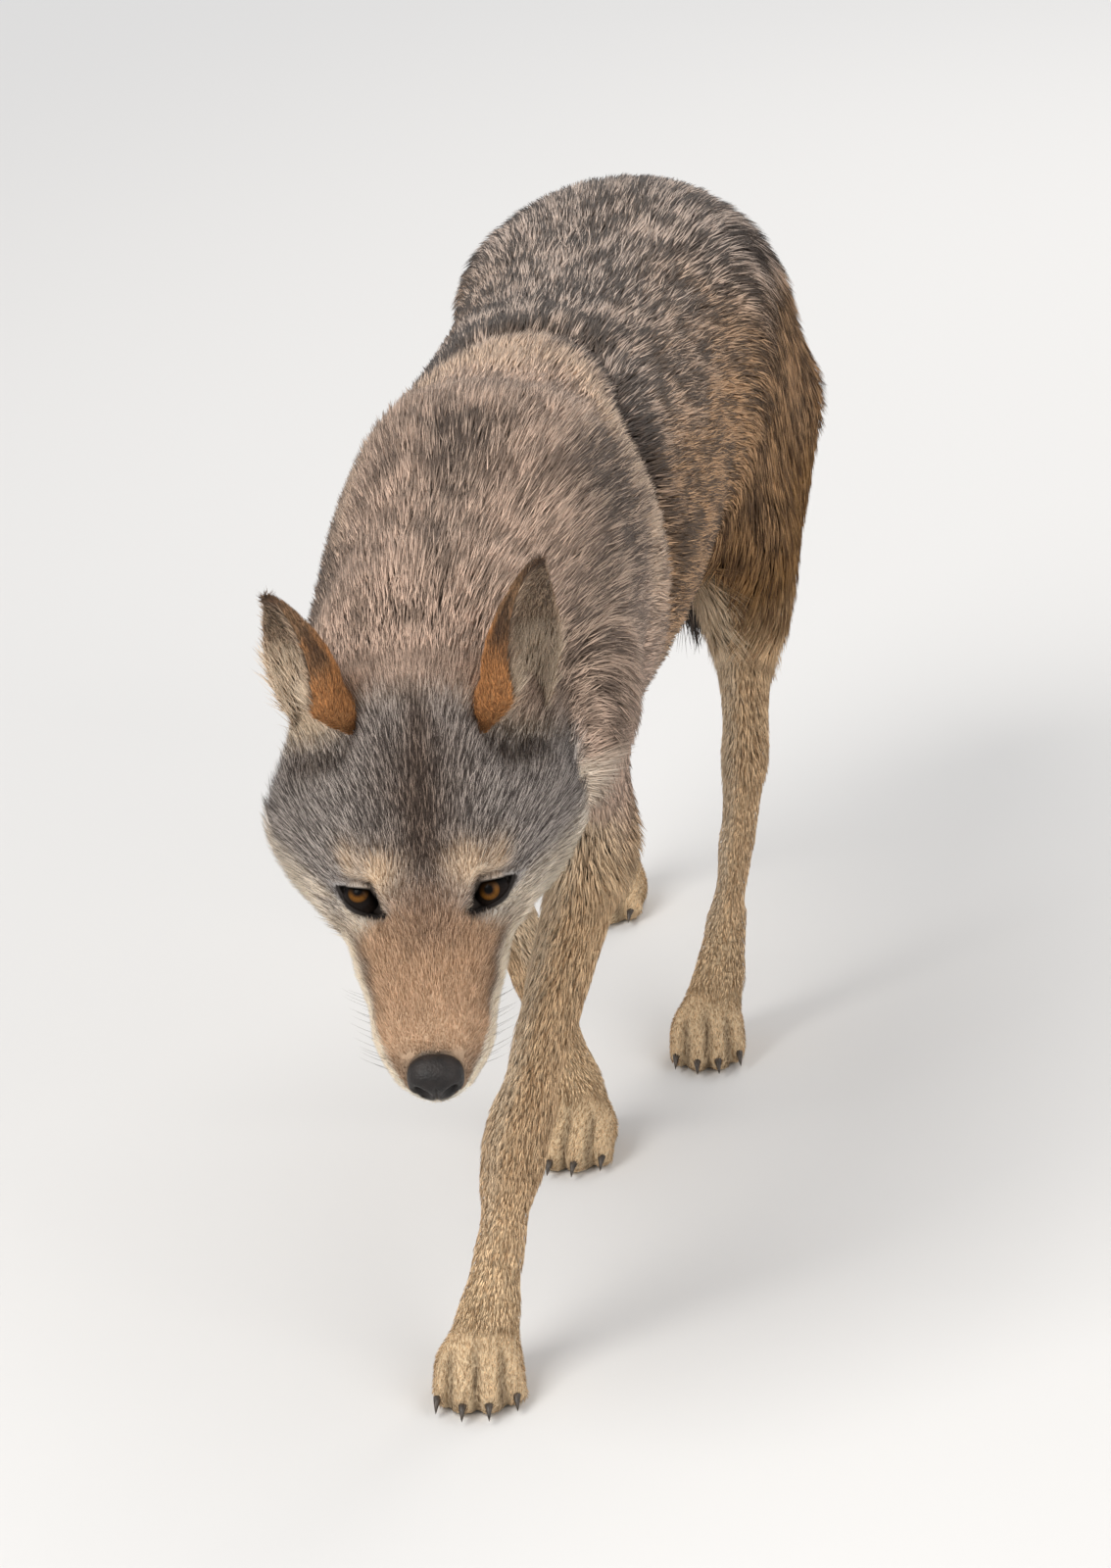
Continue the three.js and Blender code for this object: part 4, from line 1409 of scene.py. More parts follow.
class Coat:
    """Makes coat pieces, each a joined mesh of closed tufts."""

    # A tuft's patch on the unwrap, and how far the pattern of hairs shifts from tuft to tuft.
    PATCH = 0.003
    SHIFT = np.array([97.0, 61.0])
    # How deep roots lie, and how low a tuft may reach.
    SUNK = 1.2
    SUNK_SHORT = 0.5
    LOWEST = 0.3
    # Where a tuft bends, as shares of its length, its lift and the pull on its tip.
    BEND_RUN, BEND_RISE, BEND_PULL = 0.40, 0.74, 0.35
    # The ridge's height, as a share of the width.
    RIDGE, RIDGE_SHORT = 0.35, 0.4
    # How much tufts stray from the flow, and how much they turn about themselves.
    STRAY, ROLL = 0.16, 0.35
    # Hairs are painted brighter than the markings, to make up for the shade they cast on one another,
    # and painted darker at the root as painted shade among the hairs.
    GAIN = np.array([1.22, 1.14, 1.08])
    ROOT_SHADE = 0.72

    def __init__(self, rng: Rng) -> None:
        """Keeps the random numbers."""
        self.rng = rng

    def bent(self, name: str, tufts: Tufts, clump: float, lock_gap: int) -> Object:
        """Tufts with a bend in them, gathered into locks.

        Args:
            name: The piece's name.
            tufts: The tufts.
            clump: How far the tips are drawn together.
            lock_gap: How many tufts there are to a lock.

        Returns:
            The piece.
        """
        roots = tufts.roots
        root = roots.at - roots.out * self.SUNK
        bend = roots.at + tufts.along(self.BEND_RUN, self.BEND_RISE)
        tip = roots.at + tufts.along(1.0, 1.0)
        heads = np.arange(0, len(roots.at), lock_gap)
        near = heads[nearest(roots.at[heads], roots.at)]
        tip = tip + (tip[near] - tip) * clump
        bend = bend + (bend[near] - bend) * clump * self.BEND_PULL
        half, ridge = tufts.section()
        rise = ridge * (tufts.wide * self.RIDGE)[:, None]
        rings = np.stack([root, bend - half, bend + half, bend + rise, tip], axis=1)
        shape = np.array([(0, 1, 3), (0, 3, 2), (0, 2, 1), (1, 4, 3), (3, 4, 2), (2, 4, 1)])
        uv = np.array([(0, 0), (-0.5, 0.4), (0.5, 0.4), (0, 0.5), (0, 1.0)])
        colours = np.stack([tufts.low] + [tufts.middle] * 3 + [tufts.tip], axis=1)
        return self._piece(name, rings, shape, uv, colours, roots.uv)

    def straight(self, name: str, tufts: Tufts) -> Object:
        """Short straight tufts.

        Args:
            name: The piece's name.
            tufts: The tufts.

        Returns:
            The piece.
        """
        roots = tufts.roots
        root = roots.at - roots.out * self.SUNK_SHORT
        tip = roots.at + tufts.along(1.0, 1.0)
        half, ridge = tufts.section()
        rise = ridge * (tufts.wide * self.RIDGE_SHORT)[:, None]
        rings = np.stack([root - half, root + half, root + rise, tip], axis=1)
        shape = np.array([(0, 2, 3), (2, 1, 3), (1, 0, 3), (0, 1, 2)])
        uv = np.array([(-0.5, 0), (0.5, 0), (0, -0.15), (0, 1.0)])
        colours = np.stack([tufts.middle] * 3 + [tufts.tip], axis=1)
        return self._piece(name, rings, shape, uv, colours, roots.uv)

    def _piece(self, name: str, rings: Array, shape: Array, uv: Array, colours: Array,
               places: Array) -> Object:
        """Joins tufts in one mesh with its maps and colours.

        Args:
            name: The piece's name.
            rings: The points of each tuft.
            shape: A tuft's triangles.
            uv: A tuft's points on its patch.
            colours: The colour of each point.
            places: Each patch's place.

        Returns:
            The piece.
        """
        n, k = rings.shape[:2]
        rings[..., 2] = np.maximum(rings[..., 2], self.LOWEST)
        triangles = (np.arange(n)[:, None, None] * k + shape[None]).reshape(-1, 3)
        obj = mesh_from(name, rings.reshape(-1, 3), triangles)
        paint(obj, colours.reshape(-1, 3))
        half = self.PATCH
        patch = np.clip(places, half, 1 - half)[:, None, :] + uv[None] * self.PATCH
        strand = uv[None] + self.rng.random((n, 1, 2)) * self.SHIFT
        for layer, values in (("OFBake", patch), ("strand", strand)):
            corners = values.reshape(-1, 2)[triangles.ravel()].astype(np.float32)
            obj.data.uv_layers.new(name=layer).data.foreach_set("uv", corners.ravel())
        obj.data.uv_layers.active = obj.data.uv_layers["OFBake"]
        return obj

    def dress(self, roots: Roots, blotch: float, mix: HairMix | None = None,
              way: Array | None = None) -> Tufts:
        """Works out a set of tufts from the flow and the markings.

        Args:
            roots: Their roots.
            blotch: How much dark tufts keep together, from 0 to 1.
            mix: Their hairs, where the body's markings don't say.
            way: The way they lie, where the flow doesn't say.

        Returns:
            The tufts.
        """
        rng, n = self.rng, len(roots.at)
        flow, facts = FLOW.at(roots.at)
        facts = facts * (0.36 + 0.64 * ramp(eye_gap(roots.at), 1, 19))[:, None] ** np.array([1.0, 1.0, 0.4])
        flow = flow if way is None else way
        flow = unit(flow - roots.out * (flow * roots.out).sum(axis=1, keepdims=True))
        flow = unit(flow + rng.normal(0, self.STRAY, (n, 3)))
        flow = unit(flow - roots.out * (flow * roots.out).sum(axis=1, keepdims=True))
        mix = mix or Markings(roots.at, roots.out)
        patch = np.clip(1.7 * (0.6 * noise(roots.at, 5.5, 7) + 0.4 * noise(roots.at, 13, 8)) - 0.35, 0, 1)
        dark_hair = (blotch * patch + (1 - blotch) * rng.random(n) < mix.share)[:, None]
        tone = rng.normal(1.0, 0.08, (n, 1)) * (0.86 + 0.28 * noise(roots.at, 7, 9))[:, None]
        body = np.where(dark_hair, mix.dark + (mix.pale - mix.dark) * 0.22, mix.pale) * tone
        spread = rng.uniform(0.78, 1.12, n)
        return Tufts(
            roots=roots,
            way=flow,
            length=facts[:, 1] * spread,
            lift=facts[:, 0] * rng.uniform(0.72, 1.08, n),
            wide=facts[:, 2] * rng.uniform(0.75, 1.3, n),
            # The root's colour is the markings' mean darkened by painted shade among the hairs.
            low=mix.mean() * self.ROOT_SHADE * self.GAIN,
            middle=body * self.GAIN,
            tip=np.where(dark_hair, mix.dark * 0.9, body) * self.GAIN,
            roll=rng.normal(0, self.ROLL, n),
        )


# -------- materials


class Sock:
    """A node socket that does sums: each one adds a Math node."""

    def __init__(self, mat: "Shader", socket: bpy.types.NodeSocket | float) -> None:
        """Wraps a socket."""
        self.mat, self.socket = mat, socket

    def _sum(self, kind: str, a: "Sock | float", b: "Sock | float") -> "Sock":
        """Adds a Math node."""
        return self.mat.add("ShaderNodeMath", {"operation": kind}, {0: a, 1: b})

    def __add__(self, other: "Sock | float") -> "Sock":
        """This value plus another."""
        return self._sum("ADD", self, other)

    def __mul__(self, other: "Sock | float") -> "Sock":
        """This value times another."""
        return self._sum("MULTIPLY", self, other)

    def __sub__(self, other: "Sock | float") -> "Sock":
        """This value less another."""
        return self._sum("SUBTRACT", self, other)

    def __rsub__(self, other: float) -> "Sock":
        """A number less this value."""
        return self._sum("SUBTRACT", other, self)

    __radd__, __rmul__ = __add__, __mul__


class Shader:
    """One procedural material."""

    def __init__(self, name: str) -> None:
        """Starts with the output and a Principled shader.

        Args:
            name: The material's name.
        """
        self.material = bpy.data.materials.new(name)
        self.material.use_nodes = True
        self.tree = self.material.node_tree
        self.main = self.tree.nodes["Principled BSDF"]

    def add(self, kind: str, settings: dict | None = None, inputs: dict | None = None,
            out: int | str = 0) -> Sock:
        """Adds a node.

        Args:
            kind: Its type.
            settings: Its own settings, set first.
            inputs: Values or links of its sockets.
            out: Which output is wanted.

        Returns:
            That output.
        """
        node = self.tree.nodes.new(kind)
        for key, value in (settings or {}).items():
            if key == "stops":
                ramp_ = node.color_ramp
                while len(ramp_.elements) < len(value):
                    ramp_.elements.new(0.5)
                for element, (place, colour) in zip(ramp_.elements, value):
                    element.position, element.color = place, (*colour, 1.0)
            else:
                setattr(node, key, value)
        for key, value in (inputs or {}).items():
            self.feed(node.inputs[key], value)
        return Sock(self, node.outputs[out])

    def feed(self, socket: bpy.types.NodeSocket, value: "Sock | float | Sequence[float]") -> None:
        """Links or sets a socket.

        Args:
            socket: The socket.
            value: What goes into it.
        """
        if isinstance(value, Sock):
            self.tree.links.new(value.socket, socket)
        else:
            socket.default_value = value

    def set(self, **values: "Sock | float | Sequence[float]") -> None:
        """Sets the shader's sockets, whose names have _ for a space."""
        for name, value in values.items():
            self.feed(self.main.inputs[name.replace("_", " ")], value)

    def place(self) -> Sock:
        """Places on the object, in metres."""
        return self.add("ShaderNodeTexCoord", {}, {}, "Object")

    def painted(self) -> Sock:
        """The colour painted on the mesh's points."""
        return self.add("ShaderNodeVertexColor", {"layer_name": "coat"})

    def marks(self, layer: str) -> Sock:
        """Places on one of the mesh's maps."""
        return self.add("ShaderNodeUVMap", {"uv_map": layer})

    def flecks(self, place: Sock, scale: float, detail: float, roughness: float = 0.5,
               across: str = "3D") -> Sock:
        """Noise from 0 to 1."""
        return self.add("ShaderNodeTexNoise", {"noise_dimensions": across}, {
            "Vector": place, "Scale": scale, "Detail": detail, "Roughness": roughness})

    def times(self, a: Sock, b: "Sock | Sequence[float]") -> Sock:
        """Two vectors or colours multiplied."""
        return self.add("ShaderNodeVectorMath", {"operation": "MULTIPLY"}, {0: a, 1: b})

    def grey(self, value: Sock) -> Sock:
        """A value as a grey colour."""
        return self.add("ShaderNodeCombineXYZ", {}, {0: value, 1: value, 2: value})

    def blend(self, value: Sock, stops: Sequence[tuple[float, Sequence[float]]]) -> Sock:
        """A value as a colour between stops."""
        return self.add("ShaderNodeValToRGB", {"stops": stops}, {"Fac": value})

    def bump(self, height: Sock, strength: float, distance: float) -> None:
        """Feeds the shader's normal from a height."""
        self.set(Normal=self.add("ShaderNodeBump", {}, {
            "Height": height, "Strength": strength, "Distance": distance}))


@dataclass(frozen=True)
class FurFinish:
    """The look of tufts: how much their hairs differ, and how often across and along a tuft."""

    name: str
    roughness: float = 0.62
    streaks: float = 0.5
    specular: float = 0.26
    hairs_across: Triple = (5.0, 1.1, 1.0)
    hair_deep: float = 0.0006

    def make(self) -> Material:
        """Makes the material of tufts.

        Returns:
            It.
        """
        shader = Shader(self.name)
        fine = shader.times(shader.marks("strand"), self.hairs_across)
        hairs = shader.flecks(fine, 1.0, 2.0, 0.6, "2D")
        light = shader.grey(hairs * (2 * self.streaks) + (1 - self.streaks))
        colour = shader.times(shader.painted(), light)
        shader.set(Base_Color=colour, Roughness=self.roughness, Specular_IOR_Level=self.specular)
        shader.bump(hairs, 0.5, self.hair_deep)
        return shader.material


@dataclass(frozen=True)
class SkinFinish:
    """The look of the short fur that lies on the skin."""

    name: str = "skin_fur"
    hairs_in_metre: float = 700.0
    hair_deep: float = 0.0008

    def make(self) -> Material:
        """Makes the material of the skin.

        Returns:
            It.
        """
        shader = Shader(self.name)
        hairs = shader.flecks(shader.place(), self.hairs_in_metre, 3.0, 0.7)
        colour = shader.times(shader.painted(), shader.grey(hairs * 0.9 + 0.55))
        shader.set(Base_Color=colour, Roughness=0.7, Specular_IOR_Level=0.3)
        shader.bump(hairs, 0.6, self.hair_deep)
        return shader.material


@dataclass(frozen=True)
class LeatherFinish:
    """The moist dark leather of the nose."""

    cells: float = 620.0
    stains: float = 90.0
    cell_deep: float = 0.0006
    stops: tuple = ((0.3, (0.006, 0.005, 0.005)), (0.75, (0.024, 0.018, 0.016)))

    def make(self) -> Material:
        """Makes the leather.

        Returns:
            The material.
        """
        shader = Shader("nose_leather")
        place = shader.place()
        cells = shader.add("ShaderNodeTexVoronoi", {}, {"Vector": place, "Scale": self.cells}, "Distance")
        stain = shader.flecks(place, self.stains, 3.0)
        shader.set(Base_Color=shader.blend(stain, self.stops), Roughness=stain * 0.2 + 0.42,
                   Specular_IOR_Level=0.35)
        shader.bump(cells, 0.5, self.cell_deep)
        return shader.material


@dataclass(frozen=True)
class HornFinish:
    """The dark horn of claws and whiskers."""

    grain: float = 400.0
    grain_deep: float = 0.0003
    stops: tuple = ((0.3, (0.018, 0.013, 0.010)), (0.8, (0.10, 0.075, 0.055)))

    def make(self) -> Material:
        """Makes the horn.

        Returns:
            The material.
        """
        shader = Shader("claw_horn")
        grain = shader.flecks(shader.place(), self.grain, 4.0)
        shader.set(Base_Color=shader.blend(grain, self.stops), Roughness=0.4, Specular_IOR_Level=0.5)
        shader.bump(grain, 0.3, self.grain_deep)
        return shader.material


@dataclass(frozen=True)
class EyeFinish:
    """The eye's look: pupil, amber iris, dark ring and brownish white, under a clear coat.

    The stops go from the gaze round to the back. ragged is how much the fibres fray them, and wet how much
    coat there is before and after the rim.
    """

    stops: tuple = (
        (0.0, (0.002, 0.0015, 0.0015)),
        (0.062, (0.002, 0.0015, 0.0015)),
        (0.078, (0.040, 0.016, 0.004)),
        (0.13, (0.135, 0.055, 0.009)),
        (0.18, (0.09, 0.036, 0.006)),
        (0.202, (0.008, 0.005, 0.003)),
        (0.25, (0.010, 0.007, 0.006)),
        (1.0, (0.015, 0.010, 0.008)),
    )
    fibres: Triple = (46.0, 3.0, 1.0)
    ragged: float = 0.02
    rim: tuple[float, float] = (0.19, 0.24)
    wet: tuple[float, float] = (0.07, 0.05)

    def make(self) -> Material:
        """Makes the eye's material.

        Returns:
            It.
        """
        shader = Shader("eye_amber")
        place = shader.marks("rings")
        outwards = shader.add("ShaderNodeSeparateXYZ", {}, {0: place}, "Y")
        fibres = shader.flecks(shader.times(place, self.fibres), 1.0, 3.0, 0.6, "2D")
        tone = shader.blend(outwards + (fibres - 0.5) * self.ragged, self.stops)
        fibred = shader.times(tone, shader.grey(fibres * 0.9 + 0.55))
        wet = shader.add("ShaderNodeMapRange", {}, {
            "Value": outwards, 1: self.rim[0], 2: self.rim[1], 3: self.wet[0], 4: self.wet[1]})
        # The painted colour is the painted shade under the upper lid.
        colour = shader.times(fibred, shader.painted())
        shader.set(Base_Color=colour, Roughness=0.5, Specular_IOR_Level=0.05,
                   Coat_Weight=wet, Coat_Roughness=0.03)
        return shader.material


@dataclass(frozen=True)
class FloorFinish:
    """The plain pale floor, which glows from near to far, in metres, so that it has no far edge."""

    near: float = 2.2
    far: float = 6.5
    pale: float = 0.70
    glow: float = 0.84

    def make(self) -> Material:
        """Makes the floor's material.

        Returns:
            It.
        """
        shader = Shader("studio_floor")
        away = shader.add("ShaderNodeVectorMath", {"operation": "LENGTH"}, {0: shader.place()}, "Value")
        far = shader.add("ShaderNodeMapRange", {"interpolation_type": "SMOOTHSTEP"}, {
            "Value": away, 1: self.near, 2: self.far, 3: 0.0, 4: 1.0})
        shader.set(Base_Color=shader.grey((1.0 - far) * self.pale), Roughness=0.8, Specular_IOR_Level=0.2,
                   Emission_Color=shader.grey(far * self.glow), Emission_Strength=1.0)
        return shader.material


# -------- separate pieces


# An eyeball's rings and their corners, its clear front's width in radians, and where a ring starts.
EYE_RINGS, EYE_TURNS, CORNEA, EYE_ASIDE = 40, 48, 0.42, (0.3, 0.2, 0.9)
# Where a spike's section starts, the share of its radius that it loses, and how late.
SPIKE_ASIDE, SPIKE_LOSS, SPIKE_LATE = (0.31, 0.17, 0.93), 0.92, 1.5


def finish_piece(obj: Object, material: Material) -> None:
    """Gives a piece its material and body.

    Args:
        obj: The piece.
        material: Its material.
    """
    obj.data.materials.clear()
    obj.data.materials.append(material)
    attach(obj, "root")
    log.info("%s: %d faces", obj.name, len(obj.data.polygons))


def make_eye(site: EyeSite, name: str, material: Material) -> None:
    """Makes one eyeball with its clear front bulging over the iris, and painted shade under the upper lid.

    Args:
        site: Where it sits.
        name: The piece's name.
        material: Its material.
    """
    rings, turns = EYE_RINGS, EYE_TURNS
    polar = np.linspace(0, math.pi, rings + 1)
    bulge = site.bulge * bell(polar, CORNEA)
    z_axis = site.gaze()
    x_axis = unit(np.cross(z_axis, np.array(EYE_ASIDE)))
    y_axis = np.cross(z_axis, x_axis)
    points, rows = [site.centre() + z_axis * (site.radius + bulge[0])], []
    for i in range(1, rings):
        turn = np.linspace(0, 2 * math.pi, turns, endpoint=False)
        radius = site.radius + bulge[i]
        ring = (np.cos(turn)[:, None] * x_axis + np.sin(turn)[:, None] * y_axis) * math.sin(polar[i])
        rows.append(len(points))
        points.extend(site.centre() + (ring + z_axis * math.cos(polar[i])) * radius)
    points.append(site.centre() - z_axis * site.radius)
    last = len(points) - 1
    faces, marks = [], []
    for j in range(turns):
        k = (j + 1) % turns
        u0, u1 = j / turns, (j + 1) / turns
        faces.append((0, rows[0] + j, rows[0] + k))
        marks.append(((u0, 0.0), (u0, 1 / rings), (u1, 1 / rings)))
        for i in range(rings - 2):
            a, b = rows[i] + j, rows[i] + k
            c, d = rows[i + 1] + k, rows[i + 1] + j
            v0, v1 = (i + 1) / rings, (i + 2) / rings
            faces += [(a, d, c), (a, c, b)]
            marks += [((u0, v0), (u0, v1), (u1, v1)), ((u0, v0), (u1, v1), (u1, v0))]
        faces.append((last, rows[-1] + k, rows[-1] + j))
        marks.append(((u0, 1.0), (u1, 1 - 1 / rings), (u0, 1 - 1 / rings)))
    obj = mesh_from(name, np.array(points), np.array(faces))
    # Painted shade: the ball is painted darker under the upper lid's edge.
    shade = site.shade + (1 - site.shade) * ramp(site.under_lid(np.array(points)), *site.lit)
    paint(obj, np.repeat(shade[:, None], 3, axis=1))
    layer = obj.data.uv_layers.new(name="rings")
    layer.data.foreach_set("uv", np.array(marks, dtype=np.float32).ravel())
    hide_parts(name.replace("eyeball", "eye"))
    finish_piece(obj, material)


@dataclass(frozen=True)
class Nose:
    """The nose pad: its middle, its halves, how boxy it is, and how deep or high its forms are."""

    at: Triple = (121.5, 0.0, -22.0)
    half: Triple = (14.0, 18.6, 15.5)
    boxy: float = 2.5
    nostril: float = 10.0
    slit: float = 3.0
    groove: float = 2.4
    wing: float = 1.2

    def make(self, material: Material) -> None:
        """Makes the pad, with nostrils and the groove between them.

        Args:
            material: Its material.
        """
        deselect()
        bpy.ops.mesh.primitive_ico_sphere_add(subdivisions=5, radius=1.0)
        obj = bpy.context.active_object
        obj.name = obj.data.name = "nose_pad"
        ball = read(obj.data.vertices, "co", 3)
        square = (np.abs(ball) ** self.boxy).sum(axis=1, keepdims=True) ** (-1 / self.boxy)
        f, side, u = (ball * square * np.array(self.half)).T
        side = side * (1 - 0.22 * ramp(u, 0, -15))
        hollow = np.hypot((np.abs(side) - 9.0 - 0.25 * (u + 2)) / 4.6, (u - 0.5) / 5.6)
        slit = bell(np.hypot((np.abs(side) - 15.5) / 5.0, (u + 6) / 1.9), 1.0) * ramp(f, -4, 3)
        groove = bell(side, 1.3) * ramp(u, 13, 6) * ramp(f, 2, 7)
        wing = bell(np.hypot(np.abs(side) - 12.5, u - 2), 5.5)
        ahead = (self.wing * wing - self.nostril * bell(hollow, 1.0)) * (f > 0) - self.groove * groove
        side = side - np.sign(side) * self.slit * slit
        at = HEAD.world(np.stack([f + ahead, side, u], axis=1) + np.array(self.at))
        set_points(obj, at)
        shade_smooth(obj.data)
        face = obj.data.polygons[0]
        if face.normal.dot(Vector(to_model(at).mean(axis=0)) - face.center) > 0:
            obj.data.flip_normals()
        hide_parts("nose")
        finish_piece(obj, material)


def curved_spikes(name: str, paths: list[tuple[Array, float]], sides: int) -> Object:
    """Round spikes along paths, each closed.

    Args:
        name: The piece's name.
        paths: For each, its points from root to tip and its radius at the root.
        sides: Corners of a section.

    Returns:
        The piece.
    """
    points: list[Array] = []
    faces: list[tuple[int, int, int]] = []
    for line, radius in paths:
        base = len(points)
        steps = len(line) - 1
        ahead = unit(line[-1] - line[0])
        x_axis = unit(np.cross(ahead, np.array(SPIKE_ASIDE)))
        y_axis = np.cross(ahead, x_axis)
        for i in range(steps):
            r = radius * (1 - (i / steps) ** SPIKE_LATE * SPIKE_LOSS)
            for j in range(sides):
                t = 2 * math.pi * j / sides
                points.append(line[i] + (x_axis * math.cos(t) + y_axis * math.sin(t)) * r)
        points += [line[-1], line[0]]
        tip, root = len(points) - 2, len(points) - 1
        for j in range(sides):
            k = (j + 1) % sides
            for i in range(steps - 1):
                a, b = base + i * sides + j, base + i * sides + k
                faces += [(a, b, b + sides), (a, b + sides, a + sides)]
            last = base + (steps - 1) * sides
            faces += [(last + j, last + k, tip), (base + k, base + j, root)]
    return mesh_from(name, np.array(points), np.array(faces))


@dataclass(frozen=True)
class Claws:
    """The claws: toes and splay are counted from the paw's middle, and reach is a share of the paw.

    A claw starts before its toe at a height, goes on for long, rises first and then drops.
    """

    toes: tuple[float, ...] = (-1.5, -0.5, 0.5, 1.5)
    reach: tuple[float, ...] = (0.22, 0.36, 0.36, 0.22)
    radius: float = 3.1
    start: float = 5.0
    long: float = 11.5
    high: float = 11.0
    splay: float = 0.8
    rise: float = 2.0
    drop: float = 9.0

    def make(self, material: Material) -> None:
        """Makes the claws of all four feet.

        Args:
            material: Their material.
        """
        paths = []
        t = np.linspace(0, 1, 7)
        for paw in PAWS:
            for toe, reach in zip(self.toes, self.reach):
                x = toe * paw.toe + toe * self.splay * t
                y = -paw.long * reach - self.start - self.long * t
                z = self.high + self.rise * t - self.drop * t**2
                paths.append((paw.world(np.stack([x, y, z], axis=1)), self.radius))
        finish_piece(curved_spikes("claws", paths, 10), material)


@dataclass(frozen=True)
class Whiskers:
    """The whiskers: rows of steps on each side, which start at first and go on by step and down by down."""

    rows: int = 4
    steps: int = 5
    first: Triple = (106.0, 26.0, -26.0)
    step: tuple[float, float] = (-11.0, 1.5)
    down: float = 6.0
    long: tuple[float, float] = (16.0, 32.0)
    way: Triple = (-0.35, 0.9, -0.25)
    bend: Triple = (-0.25, 0.0, -0.2)
    stray: float = 0.12
    radius: float = 0.15

    def make(self, material: Material, rng: Rng) -> None:
        """Makes the whiskers of the muzzle.

        Args:
            material: Their material.
            rng: Seeded random numbers.
        """
        paths = []
        t = np.linspace(0, 1, 6)[:, None]
        ahead, aside, up = self.way
        for side in (LEFT, RIGHT):
            for row in range(self.rows):
                for step in range(self.steps):
                    f = self.first[0] + self.step[0] * step + rng.normal(0, 1)
                    u = self.first[2] - self.down * row + rng.normal(0, 1)
                    start = np.array([f, side * (self.first[1] + self.step[1] * step), u])
                    long = rng.uniform(*self.long)
                    way = unit(np.array([ahead, side * aside, up + rng.normal(0, self.stray)]))
                    line = start + way * long * t + np.array(self.bend) * long * t**2
                    paths.append((HEAD.world(line), self.radius))
        finish_piece(curved_spikes("whiskers", paths, 5), material)


# -------- studio


@dataclass(frozen=True)
class CameraPlan:
    """Where the camera stands, in metres from the wolf's origin, and how it is turned, in degrees."""

    at: Triple = (0.8456, -3.6946, 1.8)
    azimuth: float = 12.5
    down: float = 21.1
    roll: float = -4.0
    lens: float = 130.5
    sensor: float = 36.0

    def make(self) -> None:
        """Makes the camera the scene's own."""
        data = bpy.data.cameras.new("camera")
        data.lens, data.sensor_width, data.sensor_fit = self.lens, self.sensor, "AUTO"
        camera = bpy.data.objects.new("camera", data)
        turn = Matrix.Rotation(math.radians(self.azimuth), 4, "Z")
        tilt = Matrix.Rotation(math.radians(90 - self.down), 4, "X")
        roll = Matrix.Rotation(math.radians(self.roll), 4, "Z")
        camera.matrix_world = Matrix.Translation(Vector(self.at) + Vector(HOME)) @ turn @ tilt @ roll
        bpy.context.scene.collection.objects.link(camera)
        bpy.context.scene.camera = camera


class Studio:
    """Floor, lights and camera.

    Each light has its name, place in metres, width in metres and power in watts; all point at AIM.
    """

    FLOOR = 60.0
    AIM = (0.0, 0.0, 0.4)
    LIGHT_TONE = (1.0, 0.97, 0.92)
    SKY = (0.60, 0.60, 0.61, 1.0)
    BACKDROP = (0.80, 0.80, 0.80, 1.0)
    LIGHTS = (
        ("key", (-1.6, -2.4, 3.4), 2.6, 125.0),
        ("fill", (2.8, -2.0, 2.2), 2.6, 45.0),
        ("back", (0.6, 3.4, 2.8), 2.4, 60.0),
    )

    def build(self) -> None:
        """Makes them all."""
        deselect()
        bpy.ops.mesh.primitive_plane_add(size=self.FLOOR, location=(0, 0, 0))
        floor = bpy.context.active_object
        floor.name = "floor"
        floor.data.materials.append(FloorFinish().make())
        self._surround()
        for light in self.LIGHTS:
            self._light(*light)
        bpy.context.scene.view_settings.view_transform = "Standard"
        CameraPlan().make()

    def _surround(self) -> None:
        """Makes the sky that lights the wolf, and the paler backdrop that the camera sees."""
        world = bpy.context.scene.world or bpy.data.worlds.new("studio")
        bpy.context.scene.world = world
        world.use_nodes = True
        tree = world.node_tree
        background = tree.nodes["Background"]
        path = tree.nodes.new("ShaderNodeLightPath")
        mix = tree.nodes.new("ShaderNodeMix")
        mix.data_type = "RGBA"
        mix.inputs["A"].default_value = self.SKY
        mix.inputs["B"].default_value = self.BACKDROP
        tree.links.new(path.outputs["Is Camera Ray"], mix.inputs["Factor"])
        tree.links.new(mix.outputs["Result"], background.inputs["Color"])

    def _light(self, name: str, at: Triple, size: float, power: float) -> None:
        """Makes one round light.

        Args:
            name: Its name.
            at: Its place in metres.
            size: Its width in metres.
            power: Its power in watts.
        """
        light = bpy.data.lights.new(name, "AREA")
        light.shape, light.size, light.energy = "DISK", size, power
        light.color = self.LIGHT_TONE
        obj = bpy.data.objects.new(name, light)
        obj.location = Vector(at)
        obj.rotation_euler = (Vector(self.AIM) - Vector(at)).to_track_quat("-Z", "Y").to_euler()
        bpy.context.scene.collection.objects.link(obj)


# -------- the wolf


@dataclass(frozen=True)
class Growth:
    """How one part of the coat grows: how far its tips are drawn together, and how large its locks are."""

    name: str
    slot: Slot = Slot.COAT
    straight: bool = False
    clump: float = 0.45
    lock: int = 9
    blotch: float = 0.6

    @property
    def most(self) -> int:
        """How many tufts one piece may hold."""
        return 48000 if self.straight else 32500


